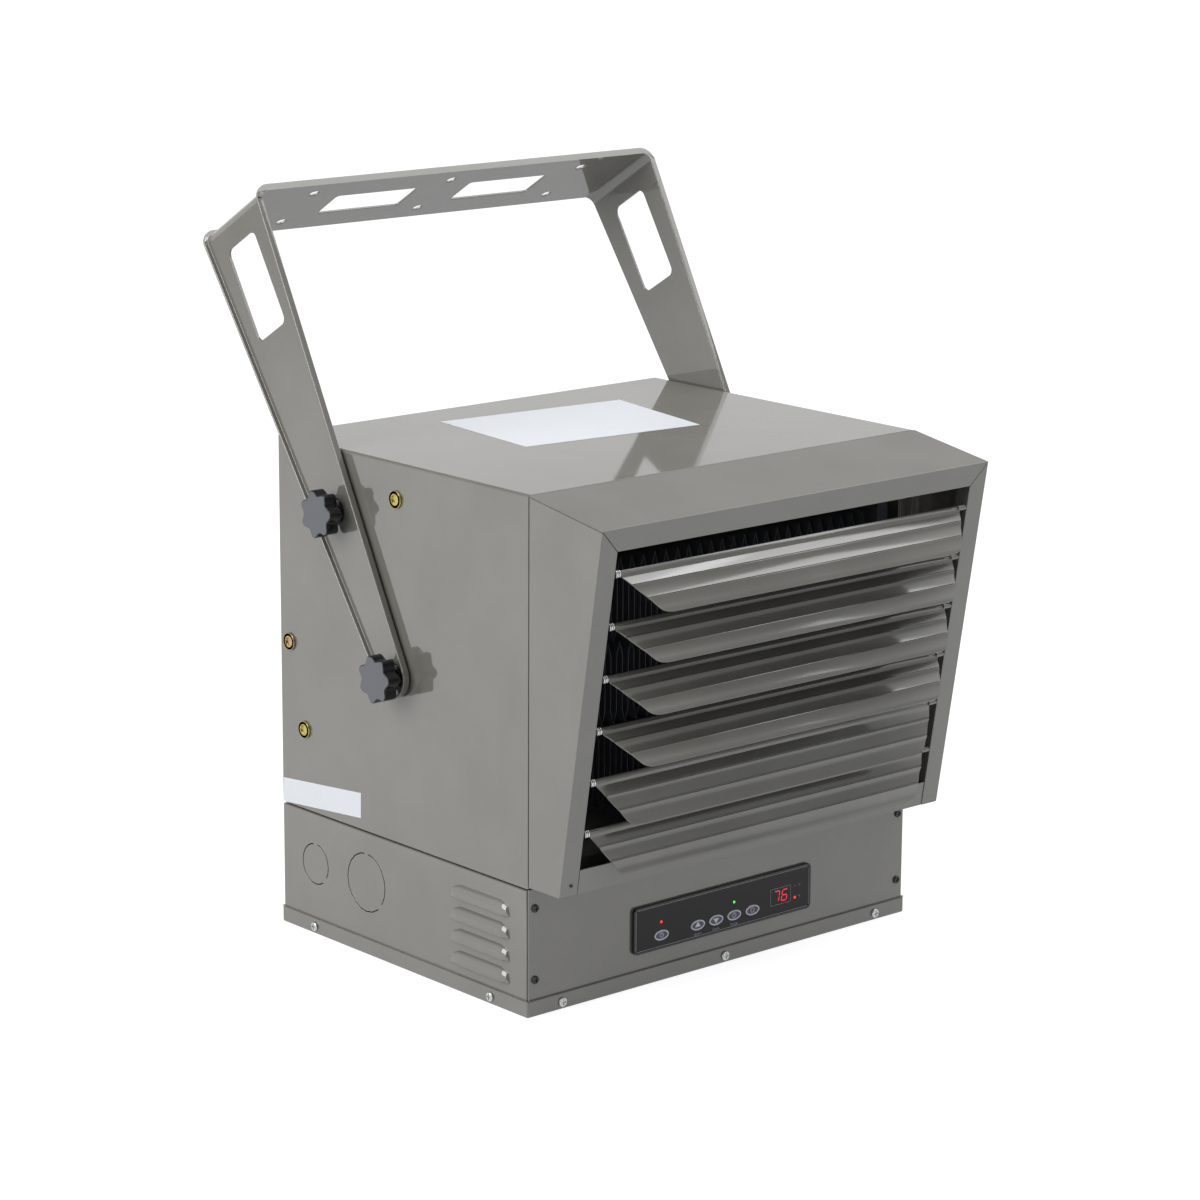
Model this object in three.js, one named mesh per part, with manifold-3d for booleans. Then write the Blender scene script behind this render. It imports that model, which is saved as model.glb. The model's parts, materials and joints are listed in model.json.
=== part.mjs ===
// Ceiling mounted fan heater, standing on its base pan with the yoke leaning back.
// Millimetres. The front faces -Y, +X is the right-hand side seen from the front, +Z is up.
// The origin is the middle of the base pan's underside.

import * as THREE from 'three';
import { mergeVertices } from 'three/addons/utils/BufferGeometryUtils.js';
import Module from 'manifold-3d';

const wasm = await Module();
wasm.setup();

// ------------------------------------------------------------------ driving dimensions

// Cabinet
const cabinetWidth = 420;
const cabinetDepth = 321;
const cabinetHeight = 422;
const sheet = 1.2;                  // thickness of the cabinet and hood sheet
const fit = 0.3;                    // clearance between neighbouring pieces
const cornerRadius = 2.5;           // outside radius of the folded top corners
const flangeWidth = 15;             // folded edges that other sheets are screwed to

// Base pan and control compartment
const panHeight = 14;
const panSheet = 0.9;
const compartmentHeight = 106;      // floor to the seam under the cabinet
const seamGap = 1.0;
const ventCount = 4;
const ventPitch = 18.5;
const ventHeight = 11.5;
const ventProud = 4;
const ventLength = 74.7;
const ventBelowSeam = 15.7;         // seam to the top of the highest vent
const ventFromFront = 21.1;
const smallKnockout = { diameter: 35, fromRear: 44.5, z: 61.1 };
const largeKnockout = { diameter: 50, fromRear: 113.9, z: 61.7 };
const knockoutSlit = 0.8;
const knockoutTab = 5;

// Control panel
const panelWidth = 198;
const panelHeight = 39.5;
const panelRadius = 4;
const panelX = -1.4;
const panelZ = 47.8;
const bezelProud = 3;
const bezelRim = 2;
const bezelLedge = 4;
const bezelLedgeThickness = 0.8;
const overlayThickness = 1;
const buttonWidth = 16;
const buttonHeight = 9.2;
const buttonProud = 0.6;
const buttonTravel = 0.8;
const buttonLip = 0.75;             // how far the flange behind a button overlaps its hole
const buttonFlange = 0.8;
const buttonOffsets = { power: -69, up: -29, down: -8.7, timer: 11.5, unit: 32.2 };
const displayOffset = { left: 52.5, right: 76.3, bottom: -9.6, top: 4.8 };
const displayLip = 2;
const boardWidth = 204;
const boardHeight = 52;
const boardThickness = 1.6;
const boardSetback = 12.5;          // front of the cabinet to the front of the circuit board
const switchSize = 6;
const switchHeight = 2;
const standoffDiameter = 5;
const standoffInset = 4;
const relay = { width: 18, depth: 14, height: 20 };
const relayOffsets = [-61, -31, 59];

// Gear in the control compartment
const contactorPlaces = { left: -50, right: 30 };
const contactorFromRear = 140.5;
const contactorFoot = { width: 50, depth: 72, height: 8 };
const contactorBody = { width: 44, depth: 66, height: 44 };
const contactorCoil = { width: 30, depth: 40, height: 62 };
const contactorPocket = { pitch: 14, width: 8, depth: 7, height: 12 };
const terminalBase = { fromLeft: 60, fromRear: 85.5, width: 34, depth: 84, height: 26 };
const terminalPoles = 3;
const terminalPocket = { offset: 11, width: 14, depth: 18, height: 14 };
const transformerPlace = { fromRight: 80, fromRear: 130.5 };
const transformerFoot = { width: 84, depth: 34, height: 1.5 };
const transformerCore = { width: 58, depth: 26, height: 50 };
const transformerWinding = { width: 34, depth: 46, height: 36 };

// Discharge hood: its front plane leans out at the top, its top sheet is square to it
const hoodTilt = 9.12;              // degrees
const hoodReach = 86.4;             // forward of the cabinet at the top edge
const hoodLift = 1.9;                // seam to the underside of the hood
const hoodTopFlange = 19;
const hoodSideFlange = 18.1;
const hoodReturn = 14;              // depth of the return walls that carry the louver pins
const sillHeight = 20.7;

// Louvers
const louverRestAngles = [48, 44, 44, 44, 64, 68];   // degrees below level
const firstLouver = 38;             // down the hood front to the first pivot
const lastLouver = 50.32;           // up the hood front to the last pivot
const louverGap = 3.15;             // between the blades when they hang in one line
const pivotSetback = 2.8;           // behind the hood's front plane
const bladeSheet = 0.9;
const bladeEndGap = 6.7;            // blade to return wall, the room for the spring
const bladeCutBack = { firstStep: 6.7, secondStep: 15.2, freeEdge: 23.6 };
const bladeCorner = 12.5;           // along the free edge
const bladeCornerRise = 8.1;        // along the cut end
const stepDrop = 1.7;
const stepRun = 3.2;
const lipDepth = 2;                 // the hem reaches this far either side of the pivot
const lipRise = 1;
const hemThickness = 1.6;
const valleyWidth = 4.2;
const valleyDrop = 0.6;
const louverPin = 2.5;              // diameter
const pinReach = 2;                 // how far a pin shows behind its return wall
const pinInBlade = 10;
const shoulderDiameter = 5;

// Coil springs on the left pins
const springOutside = 7.5;
const springWire = 1;
const springCurls = 3;
const stepsPerCurl = 8;
const springSides = 5;

// Yoke bracket: an inverted U of pressed channel, flanged outwards
const yokePivotY = 3;
const yokePivotBelowTop = 174.2;
const yokeTilt = 31.25;             // degrees back from upright
const yokeLength = 409.5;           // pivot to the underside of the cross-bar
const yokeSideGap = 2.3;            // cabinet side to the inside of an arm
const yokeSheet = 2;
const yokeFlangeReach = 5.75;       // inner face to the free edge of the flange
const yokeInnerRadius = 8;
const yokeEdgeRadius = 14;
const yokeEndRadius = 18.5;
const yokeTopHalfDepth = 45.5;
const yokeWindow = { halfDepth: 21, low: 303.5, high: 386, radius: 6 };
const barWindow = { near: 28.5, far: 115.2, halfDepth: 17, radius: 3 };
const hangingHole = { diameter: 9.5, spacing: 146.2, depth: 27.5 };

// Threaded inserts in the side panels, on an arc round the pivot
const insertAngles = [0, 31.25, 90, 120];   // degrees back from upright
const lockFromRear = 13.2;          // rear edge to the insert that is level with the pivot
const insertFlange = 14.8;
const insertBarrel = 11;
const insertLength = 10;
const doublerSheet = 2;
const doublerMargin = 9;

// Star knobs
const studDiameter = 8;
const studClearance = 0.4;          // radial
const knobDiameter = 40;
const knobLobes = 7;
const knobLobeDepth = 4.2;
const knobHeadThickness = 12;
const knobHubDiameter = 22;
const knobHubLength = 8.4;
const knobEdge = 1.6;
const studBelowInsert = 1;          // a pivot stud ends this far short of the barrel's inner end

// Fan, motor and bulkhead
const fanDiameter = 254;
const fanTipGap = 4;
const fanBladeCount = 5;
const fanHubDiameter = 60;
const fanHubLength = 26;
const fanCentreY = 60;
const fanRootChord = 56;
const fanTipChord = 88;
const fanRootPitch = 38;            // degrees
const fanTipPitch = 21;
const fanBladeSheet = 1.6;
const fanCamber = 6;
const fanHubWall = 3;
const fanHubNose = 10;              // solid length behind the front of the hub
const fanHubBevel = 5;
const shaftDiameter = 8;
const shaftInMotor = 16;
const bulkheadY = 62;
const orificeLip = 12;
const orificeRadius = 3;            // the roll into the lip
const bulkheadFlange = 8;
const motorDiameter = 90;
const motorLength = 60;
const motorWaist = 3;               // how far the end caps are smaller than the shell
const motorCapLength = 14;
const motorCapBevel = 6;
const strapWidth = 24;
const strapSheet = 2;
const strapFront = 84;
const strapReach = 160;
const strapFoot = 16;
const strapPlate = 72;              // diameter of the plate behind the fan
const motorBoss = 30;

// Rear inlet and its wire guard
const inletDiameter = 266;
const inletLip = 6;
const guardWire = 3;
const guardRingCount = 4;
const guardSpokes = 6;
const guardInnerRadius = 30;
const guardStandoff = 4;
const guardMargin = 10;
const guardLugs = 4;

// Finned heating elements
const elementCount = 3;
const elementLift = 48;             // deck to the lowest fin edge
const elementHeadroom = 64;         // highest fin edge to the top of the cabinet
const elementFromFront = 6.5;       // front of the cabinet to the front edge of the fins
const elementTube = 10.6;
const legSpacing = 45;
const finCount = 12;
const finSheet = 1;
const finDepth = 48;
const finGap = 0.6;
const finFromBracket = 8;
const bracketInset = 34;            // side of the cabinet to the inner face of a bracket
const bracketFlange = 12;
const terminalDiameter = 4;
const terminalLength = 9;

// Limiter on the bulkhead and room sensor on the deck
const limiterPlace = { fromRight: 60, fromTop: 26 };
const limiterFlange = { diameter: 24, length: 1.5 };
const limiterCan = { diameter: 16, length: 12 };
const limiterTab = { spacing: 8, width: 0.8, height: 6, length: 8 };
const sensorPlace = { fromRight: 45, fromRear: 40.5 };
const sensorFoot = { width: 16, depth: 10, height: 1.2 };
const sensorStem = { width: 4, height: 16 };
const sensorBulb = { diameter: 6, length: 26 };

// ------------------------------------------------------------------ values worked out from them

const halfWidth = cabinetWidth / 2;
const halfDepth = cabinetDepth / 2;
const insideHalf = halfWidth - sheet;
const radians = THREE.MathUtils.degToRad;
const compartmentTop = compartmentHeight - seamGap / 2;
const cabinetBottom = compartmentHeight + seamGap / 2;
const deckBottom = compartmentTop + fit;
const deckTop = deckBottom + sheet;
const fanZ = (compartmentHeight + cabinetHeight) / 2;
const yokePivotZ = cabinetHeight - yokePivotBelowTop;
const yokeInsideHalf = halfWidth + yokeSideGap;
const lockRadius = halfDepth - lockFromRear - yokePivotY;

// ------------------------------------------------------------------ finishes

const paint = { color: 0x8d8b86, roughness: 0.32, metalness: 0.15 };
const galvanised = { color: 0xa9aba9, roughness: 0.45, metalness: 0.85 };
const zinc = { color: 0xc6c8c8, roughness: 0.3, metalness: 0.9 };
const yellowZinc = { color: 0xc9a650, roughness: 0.35, metalness: 0.85 };
const springSteel = { color: 0xd6d7d8, roughness: 0.22, metalness: 1 };
const blackPlastic = { color: 0x1d1d1f, roughness: 0.45, metalness: 0 };
const glossBlack = { color: 0x08080a, roughness: 0.08, metalness: 0 };
const buttonGrey = { color: 0x8f8b94, roughness: 0.4, metalness: 0.1 };
const blackElement = { color: 0x242527, roughness: 0.6, metalness: 0.4 };
const motorBlack = { color: 0x2b2c2e, roughness: 0.5, metalness: 0.5 };
const fanAluminium = { color: 0xb4b7b9, roughness: 0.4, metalness: 0.9 };
const boardGreen = { color: 0x1f5a37, roughness: 0.5, metalness: 0 };
const moulding = { color: 0xd8d4c8, roughness: 0.55, metalness: 0 };
const lamination = { color: 0x55585c, roughness: 0.55, metalness: 0.6 };

// ------------------------------------------------------------------ solids from three.js shapes

const xAxis = new THREE.Vector3(1, 0, 0);
const yAxis = new THREE.Vector3(0, 1, 0);
const zAxis = new THREE.Vector3(0, 0, 1);

// Turns a shape drawn flat and pulled along its own Z so that it is pulled along X, Y or Z.
const pullMatrix = {
  x: new THREE.Matrix4().makeBasis(yAxis, zAxis, xAxis),
  y: new THREE.Matrix4().makeBasis(xAxis, zAxis, yAxis.clone().negate()),
  z: new THREE.Matrix4(),
};

// A closed mesh with shared corners becomes a solid that can be joined and cut.
function solidFrom(geometry) {
  const plain = geometry.clone();
  plain.deleteAttribute('normal');
  plain.deleteAttribute('uv');
  const merged = mergeVertices(plain, 1e-4);
  const corners = merged.index.array;
  const triangles = [];
  for (let i = 0; i < corners.length; i += 3) {
    const [a, b, c] = [corners[i], corners[i + 1], corners[i + 2]];
    if (a !== b && b !== c && c !== a) triangles.push(a, b, c);
  }
  return new wasm.Manifold(new wasm.Mesh({
    numProp: 3,
    vertProperties: Float32Array.from(merged.attributes.position.array),
    triVerts: Uint32Array.from(triangles),
  }));
}

function geometryFrom(solid) {
  const mesh = solid.getMesh();
  const geometry = new THREE.BufferGeometry();
  geometry.setAttribute('position', new THREE.BufferAttribute(mesh.vertProperties, 3));
  geometry.setIndex(new THREE.BufferAttribute(mesh.triVerts, 1));
  geometry.computeVertexNormals();
  return geometry;
}

const join = (first, ...others) => others.reduce((whole, piece) => whole.add(piece), first);
const cut = (first, ...tools) => tools.reduce((whole, tool) => whole.subtract(tool), first);

function block([x0, x1], [y0, y1], [z0, z1]) {
  const geometry = new THREE.BoxGeometry(x1 - x0, y1 - y0, z1 - z0);
  geometry.translate((x0 + x1) / 2, (y0 + y1) / 2, (z0 + z1) / 2);
  return solidFrom(geometry);
}

// A round rod along an axis; place holds its two other coordinates in X, Y, Z order.
function rod(axis, diameter, [from, to], place, sides = 16) {
  const geometry = new THREE.CylinderGeometry(diameter / 2, diameter / 2, to - from, sides);
  const middle = (from + to) / 2;
  if (axis === 'x') geometry.rotateZ(-Math.PI / 2).translate(middle, place[0], place[1]);
  if (axis === 'y') geometry.translate(place[0], middle, place[1]);
  if (axis === 'z') geometry.rotateX(Math.PI / 2).translate(place[0], place[1], middle);
  return solidFrom(geometry);
}

// A flat outline pulled along an axis: drawn in Y-Z for x, in X-Z for y, in X-Y for z.
function prismGeometry(axis, outline, [from, to], curveSegments = 3) {
  const shape = Array.isArray(outline)
    ? new THREE.Shape(outline.map(([u, v]) => new THREE.Vector2(u, v)))
    : outline;
  const geometry = new THREE.ExtrudeGeometry(shape, {
    depth: to - from,
    bevelEnabled: false,
    curveSegments,
  });
  geometry.applyMatrix4(pullMatrix[axis]);
  if (axis === 'x') geometry.translate(from, 0, 0);
  if (axis === 'y') geometry.translate(0, to, 0);
  if (axis === 'z') geometry.translate(0, 0, from);
  return geometry;
}

const prism = (...values) => solidFrom(prismGeometry(...values));

// A ring-shaped or solid piece turned round the Y axis; the profile holds [radius, y] pairs.
function turnedOnY(profile, [x, z], sides) {
  const points = profile.map(([radius, along]) => new THREE.Vector2(radius, along));
  return solidFrom(new THREE.LatheGeometry(points, sides).translate(x, 0, z));
}

function roundedRectangle(width, height, radius, centreU = 0, centreV = 0) {
  const left = centreU - width / 2;
  const right = centreU + width / 2;
  const low = centreV - height / 2;
  const high = centreV + height / 2;
  const shape = new THREE.Shape();
  shape.moveTo(left + radius, low);
  shape.lineTo(right - radius, low);
  shape.absarc(right - radius, low + radius, radius, -Math.PI / 2, 0, false);
  shape.lineTo(right, high - radius);
  shape.absarc(right - radius, high - radius, radius, 0, Math.PI / 2, false);
  shape.lineTo(left + radius, high);
  shape.absarc(left + radius, high - radius, radius, Math.PI / 2, Math.PI, false);
  shape.lineTo(left, low + radius);
  shape.absarc(left + radius, low + radius, radius, Math.PI, Math.PI * 1.5, false);
  return shape;
}

// Rings of points with equal counts, skinned one to the next and closed at both ends.
function loft(rings) {
  const count = rings[0].length;
  const positions = rings.flat().flatMap((point) => point.toArray());
  const triangles = [];
  const quad = (a, b, c, d) => triangles.push(a, b, c, a, c, d);
  for (let ring = 0; ring < rings.length - 1; ring += 1) {
    for (let i = 0; i < count; i += 1) {
      const next = (i + 1) % count;
      const near = ring * count;
      const far = near + count;
      quad(near + i, near + next, far + next, far + i);
    }
  }
  const last = (rings.length - 1) * count;
  for (let i = 0; i < count / 2 - 1; i += 1) {
    quad(count - 1 - i, count - 2 - i, i + 1, i);
    quad(last + i, last + i + 1, last + count - 2 - i, last + count - 1 - i);
  }
  const geometry = new THREE.BufferGeometry();
  geometry.setAttribute('position', new THREE.Float32BufferAttribute(positions, 3));
  geometry.setIndex(triangles);
  return solidFrom(geometry);
}

// The stretch between two distances from the middle plane, on the left or right side.
const across = (side, near, far) => (side < 0 ? [-far, -near] : [near, far]);

const heater = new THREE.Group();

function addNode(parent, name, solid, finish) {
  const mesh = new THREE.Mesh(geometryFrom(solid), new THREE.MeshStandardMaterial(finish));
  mesh.name = name;
  parent.add(mesh);
}

// ------------------------------------------------------------------ base pan

const panInsideX = halfWidth + fit;
const panInsideY = halfDepth + fit;

function basePan() {
  const outsideX = panInsideX + panSheet;
  const outsideY = panInsideY + panSheet;
  return cut(
    block([-outsideX, outsideX], [-outsideY, outsideY], [0, panHeight]),
    block([-panInsideX, panInsideX], [-panInsideY, panInsideY], [panSheet, panHeight + 1]),
  );
}

addNode(heater, 'base_pan', basePan(), paint);

// ------------------------------------------------------------------ control box

const ventFront = ventFromFront - halfDepth;
const ventRear = ventFront + ventLength;
const boxBottom = panSheet + fit;
const coverBack = -halfDepth + sheet;
const boxFront = coverBack + fit;

// A pressed vent: half of a stretched capsule with its flat mouth facing down.
function ventDome(side, mouthZ, radius, proud) {
  const length = ventRear - ventFront - 2 * radius;
  const geometry = new THREE.CapsuleGeometry(radius, length, 2, 12);
  geometry.scale(proud / radius, 1, 1);
  geometry.translate(side * halfWidth, (ventFront + ventRear) / 2, mouthZ);
  const above = block(
    across(side, halfWidth - 2 * proud, halfWidth + 2 * proud),
    [ventFront - 1, ventRear + 1],
    [mouthZ, mouthZ + radius + 1],
  );
  return solidFrom(geometry).intersect(above);
}

// A knockout is a disc left in the wall by a slit that stops at two tabs.
function knockoutRing(side, { diameter, fromRear, z }) {
  const y = halfDepth - fromRear;
  const wall = across(side, insideHalf - 1, halfWidth + 1);
  const ring = cut(
    rod('x', diameter + knockoutSlit, wall, [y, z], 20),
    rod('x', diameter - knockoutSlit, wall, [y, z], 20),
  );
  const half = knockoutTab / 2;
  const reach = diameter / 2 + knockoutSlit;
  const topTab = block(wall, [y - half, y + half], [z, z + reach]);
  const lowTabZ = z - diameter / 3;
  const lowTab = block(wall, [y - reach, y], [lowTabZ - half, lowTabZ + half]);
  return cut(ring, topTab, lowTab);
}

function controlBox() {
  const inside = block(
    [-insideHalf, insideHalf],
    [boxFront - 1, halfDepth - sheet],
    [boxBottom - 1, compartmentTop - sheet],
  );
  const topOpening = block(
    [-insideHalf + flangeWidth, insideHalf - flangeWidth],
    [boxFront - 1, halfDepth - sheet - flangeWidth],
    [compartmentTop - 2 * sheet, compartmentTop + 1],
  );
  let box = block([-halfWidth, halfWidth], [boxFront, halfDepth], [boxBottom, compartmentTop]);
  box = cut(box, inside, topOpening);
  for (const side of [-1, 1]) {
    const flange = block(
      across(side, insideHalf - flangeWidth, halfWidth),
      [boxFront, boxFront + sheet],
      [boxBottom, compartmentTop],
    );
    box = join(box, flange);
    for (let i = 0; i < ventCount; i += 1) {
      const mouthZ = compartmentHeight - ventBelowSeam - ventHeight - i * ventPitch;
      const outer = ventDome(side, mouthZ, ventHeight, ventProud);
      const skin = outer.intersect(block(
        across(side, halfWidth - sheet / 2, halfWidth + 2 * ventProud),
        [ventFront, ventRear],
        [mouthZ, mouthZ + ventHeight],
      ));
      const hollow = ventDome(side, mouthZ, ventHeight - sheet, ventProud - sheet);
      box = cut(join(box, skin), hollow);
    }
  }
  return cut(box, knockoutRing(-1, smallKnockout), knockoutRing(-1, largeKnockout));
}

addNode(heater, 'control_box', controlBox(), paint);

// ------------------------------------------------------------------ front cover and control panel

const bezelBack = -halfDepth - fit;
const bezelFront = bezelBack - bezelProud + fit;
const ledgeFront = bezelBack - bezelLedgeThickness;
const overlayBack = ledgeFront - fit;
const overlayFront = overlayBack - overlayThickness;
const panelOpening = {
  width: panelWidth - 2 * (bezelRim + bezelLedge),
  height: panelHeight - 2 * (bezelRim + bezelLedge),
};

const buttonZ = panelZ - panelOpening.height / 2 + fit + buttonLip + buttonHeight / 2;
const displayWindow = {
  left: panelX + displayOffset.left,
  right: panelX + displayOffset.right,
  bottom: panelZ + displayOffset.bottom,
  top: panelZ + displayOffset.top,
};

const panelPlate = (width, height, radius, [from, to]) => prism(
  'y', roundedRectangle(width, height, radius, panelX, panelZ), [from, to], 2,
);

function ellipseOutline(width, height, centreX) {
  const shape = new THREE.Shape();
  shape.absellipse(centreX, buttonZ, width / 2, height / 2, 0, Math.PI * 2, false, 0);
  return shape;
}

const buttonOval = (centreX, grow, [from, to]) => prism(
  'y', ellipseOutline(buttonWidth + 2 * grow, buttonHeight + 2 * grow, centreX), [from, to], 6,
);

function frontCover() {
  const plate = block([-halfWidth, halfWidth], [-halfDepth, coverBack], [boxBottom, compartmentTop]);
  const grow = 2 * (sheet + fit);
  return cut(plate, panelPlate(
    panelOpening.width + grow, panelOpening.height + grow, sheet, [-halfDepth - 1, coverBack + 1],
  ));
}

function panelBezel() {
  const rim = panelPlate(panelWidth, panelHeight, panelRadius, [bezelFront, bezelBack]);
  const neck = panelPlate(
    panelOpening.width + 2 * sheet, panelOpening.height + 2 * sheet, sheet,
    [ledgeFront, coverBack + 2],
  );
  const recess = panelPlate(
    panelWidth - 2 * bezelRim, panelHeight - 2 * bezelRim, panelRadius - bezelRim / 2,
    [bezelFront - 1, ledgeFront],
  );
  const opening = panelPlate(
    panelOpening.width, panelOpening.height, fit, [ledgeFront - 1, coverBack + 3],
  );
  return cut(join(cut(rim, recess), neck), opening);
}

function panelOverlay() {
  const gap = 2 * (bezelRim + fit);
  let overlay = panelPlate(
    panelWidth - gap, panelHeight - gap, panelRadius - bezelRim / 2, [overlayFront, overlayBack],
  );
  for (const offset of Object.values(buttonOffsets)) {
    overlay = cut(overlay, buttonOval(panelX + offset, 0, [overlayFront - 1, overlayBack + 1]));
  }
  return cut(overlay, block(
    [displayWindow.left, displayWindow.right],
    [overlayFront - 1, overlayBack + 1],
    [displayWindow.bottom, displayWindow.top],
  ));
}

const boardFront = -halfDepth + boardSetback;

function displayModule() {
  const { left, right, bottom, top } = displayWindow;
  const lens = block(
    [left + fit, right - fit], [overlayFront, overlayBack + 2 * fit], [bottom + fit, top - fit],
  );
  const body = block(
    [left - displayLip, right + displayLip],
    [overlayBack + fit, boardFront - fit],
    [bottom - displayLip, top + displayLip],
  );
  return join(lens, body);
}

const switchFront = boardFront - switchHeight;

function pushButton(centreX) {
  const flangeFront = overlayBack + fit;
  const cap = buttonOval(centreX, -fit, [overlayFront - buttonProud, flangeFront + fit]);
  const flange = buttonOval(centreX, buttonLip, [flangeFront, flangeFront + buttonFlange]);
  const stemEnd = switchFront - buttonTravel - fit;
  const stem = rod('y', standoffDiameter, [flangeFront, stemEnd], [centreX, buttonZ], 8);
  return join(cap, flange, stem);
}

function circuitBoard() {
  const left = panelX - boardWidth / 2;
  const low = panelZ - boardHeight / 2;
  let board = block(
    [left, left + boardWidth], [boardFront, boardFront + boardThickness], [low, low + boardHeight],
  );
  for (const offset of Object.values(buttonOffsets)) {
    const x = panelX + offset;
    const half = switchSize / 2;
    board = join(board, block(
      [x - half, x + half], [switchFront, boardFront + fit], [buttonZ - half, buttonZ + half],
    ));
  }
  for (const x of [left + standoffInset, left + boardWidth - standoffInset]) {
    for (const z of [low + standoffInset, low + boardHeight - standoffInset]) {
      const reach = [coverBack + fit, boardFront + fit];
      board = join(board, rod('y', standoffDiameter, reach, [x, z], 8));
    }
  }
  const back = boardFront + boardThickness;
  for (const offset of relayOffsets) {
    const x = panelX + offset;
    board = join(board, block(
      [x, x + relay.width], [back - fit, back + relay.depth], [panelZ, panelZ + relay.height],
    ));
  }
  return board;
}

addNode(heater, 'front_cover', frontCover(), paint);
addNode(heater, 'panel_bezel', panelBezel(), blackPlastic);
addNode(heater, 'panel_overlay', panelOverlay(), glossBlack);
addNode(heater, 'display_module', displayModule(), glossBlack);
for (const [place, offset] of Object.entries(buttonOffsets)) {
  addNode(heater, `button_${place}`, pushButton(panelX + offset), buttonGrey);
}
addNode(heater, 'circuit_board', circuitBoard(), boardGreen);

// ------------------------------------------------------------------ gear in the control compartment

// A block centred on [x, y] whose foot stands at a given height.
const standing = ([x, y], { width, depth, height }, from, lift = 0) => block(
  [x - width / 2, x + width / 2], [y - depth / 2, y + depth / 2], [from, from + height + lift],
);

// A moulded contactor: a wide foot, a body with terminal pockets and a narrower coil housing.
function contactor(x) {
  const y = halfDepth - contactorFromRear;
  const place = [x, y];
  let whole = join(
    standing(place, contactorFoot, boxBottom),
    standing(place, contactorBody, boxBottom),
    standing(place, contactorCoil, boxBottom),
  );
  const { pitch, width, depth, height } = contactorPocket;
  const pocketFloor = boxBottom + contactorBody.height - height;
  for (const side of [-1, 1]) {
    for (const pole of [-1, 0, 1]) {
      const pocket = [x + pole * pitch, y + (side * contactorBody.depth) / 2];
      whole = cut(whole, standing(pocket, { width, depth: 2 * depth, height }, pocketFloor, 1));
    }
  }
  return whole;
}

// A terminal block: one long base with a wire pocket on each side of every pole.
function terminalBlock() {
  const x = terminalBase.fromLeft - halfWidth;
  const y = halfDepth - terminalBase.fromRear;
  let whole = standing([x, y], terminalBase, boxBottom);
  const polePitch = terminalBase.depth / terminalPoles;
  const pocketFloor = boxBottom + terminalBase.height - terminalPocket.height;
  for (let i = 0; i < terminalPoles; i += 1) {
    for (const side of [-1, 1]) {
      const pocket = [x + side * terminalPocket.offset, y + (i - (terminalPoles - 1) / 2) * polePitch];
      whole = cut(whole, standing(pocket, terminalPocket, pocketFloor, 1));
    }
  }
  return whole;
}

// A small transformer: laminated core on a folded foot, with the winding through it.
function transformer() {
  const place = [halfWidth - transformerPlace.fromRight, halfDepth - transformerPlace.fromRear];
  const lift = (transformerCore.height - transformerWinding.height) / 2;
  return join(
    standing(place, transformerFoot, boxBottom),
    standing(place, transformerCore, boxBottom),
    standing(place, transformerWinding, boxBottom + lift),
  );
}

for (const [place, x] of Object.entries(contactorPlaces)) {
  addNode(heater, `contactor_${place}`, contactor(x), moulding);
}
addNode(heater, 'terminal_block', terminalBlock(), moulding);
addNode(heater, 'transformer', transformer(), lamination);

// ------------------------------------------------------------------ cabinet

// An inverted U drawn in X-Z, used for the folded cabinet wrap and for the yoke channel.
function archOutline(inner, bottom, innerTop, thickness, innerRadius, outerRadius) {
  const outer = inner + thickness;
  const outerTop = innerTop + thickness;
  const shape = new THREE.Shape();
  shape.moveTo(-outer, bottom);
  shape.lineTo(-outer, outerTop - outerRadius);
  shape.absarc(-outer + outerRadius, outerTop - outerRadius, outerRadius, Math.PI, Math.PI / 2, true);
  shape.lineTo(outer - outerRadius, outerTop);
  shape.absarc(outer - outerRadius, outerTop - outerRadius, outerRadius, Math.PI / 2, 0, true);
  shape.lineTo(outer, bottom);
  shape.lineTo(inner, bottom);
  shape.lineTo(inner, innerTop - innerRadius);
  shape.absarc(inner - innerRadius, innerTop - innerRadius, innerRadius, 0, Math.PI / 2, false);
  shape.lineTo(-inner + innerRadius, innerTop);
  shape.absarc(-inner + innerRadius, innerTop - innerRadius, innerRadius, Math.PI / 2, Math.PI, false);
  shape.lineTo(-inner, bottom);
  return shape;
}

const rearPanelFront = halfDepth - sheet;
const rearFlangeBack = rearPanelFront - fit;

// Places of the threaded inserts on a side panel, as [y, z]: the pivot first, then the arc.
const insertPlaces = [[yokePivotY, yokePivotZ]].concat(insertAngles.map((angle) => [
  yokePivotY + lockRadius * Math.sin(radians(angle)),
  yokePivotZ + lockRadius * Math.cos(radians(angle)),
]));

function cabinetShell() {
  const wrap = (thickness, [from, to]) => prism('y', archOutline(
    halfWidth - thickness, cabinetBottom, cabinetHeight - thickness, thickness,
    Math.max(cornerRadius - thickness, fit), cornerRadius,
  ), [from, to], 2);
  let shell = join(
    wrap(sheet, [-halfDepth, halfDepth]),
    wrap(flangeWidth, [-halfDepth, -halfDepth + sheet]),
    wrap(flangeWidth, [rearFlangeBack - sheet, rearFlangeBack]),
  );
  for (const place of insertPlaces) {
    const through = [-halfWidth - 1, halfWidth + 1];
    shell = cut(shell, rod('x', insertBarrel + 2 * fit, through, place, 6));
  }
  return shell;
}

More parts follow.
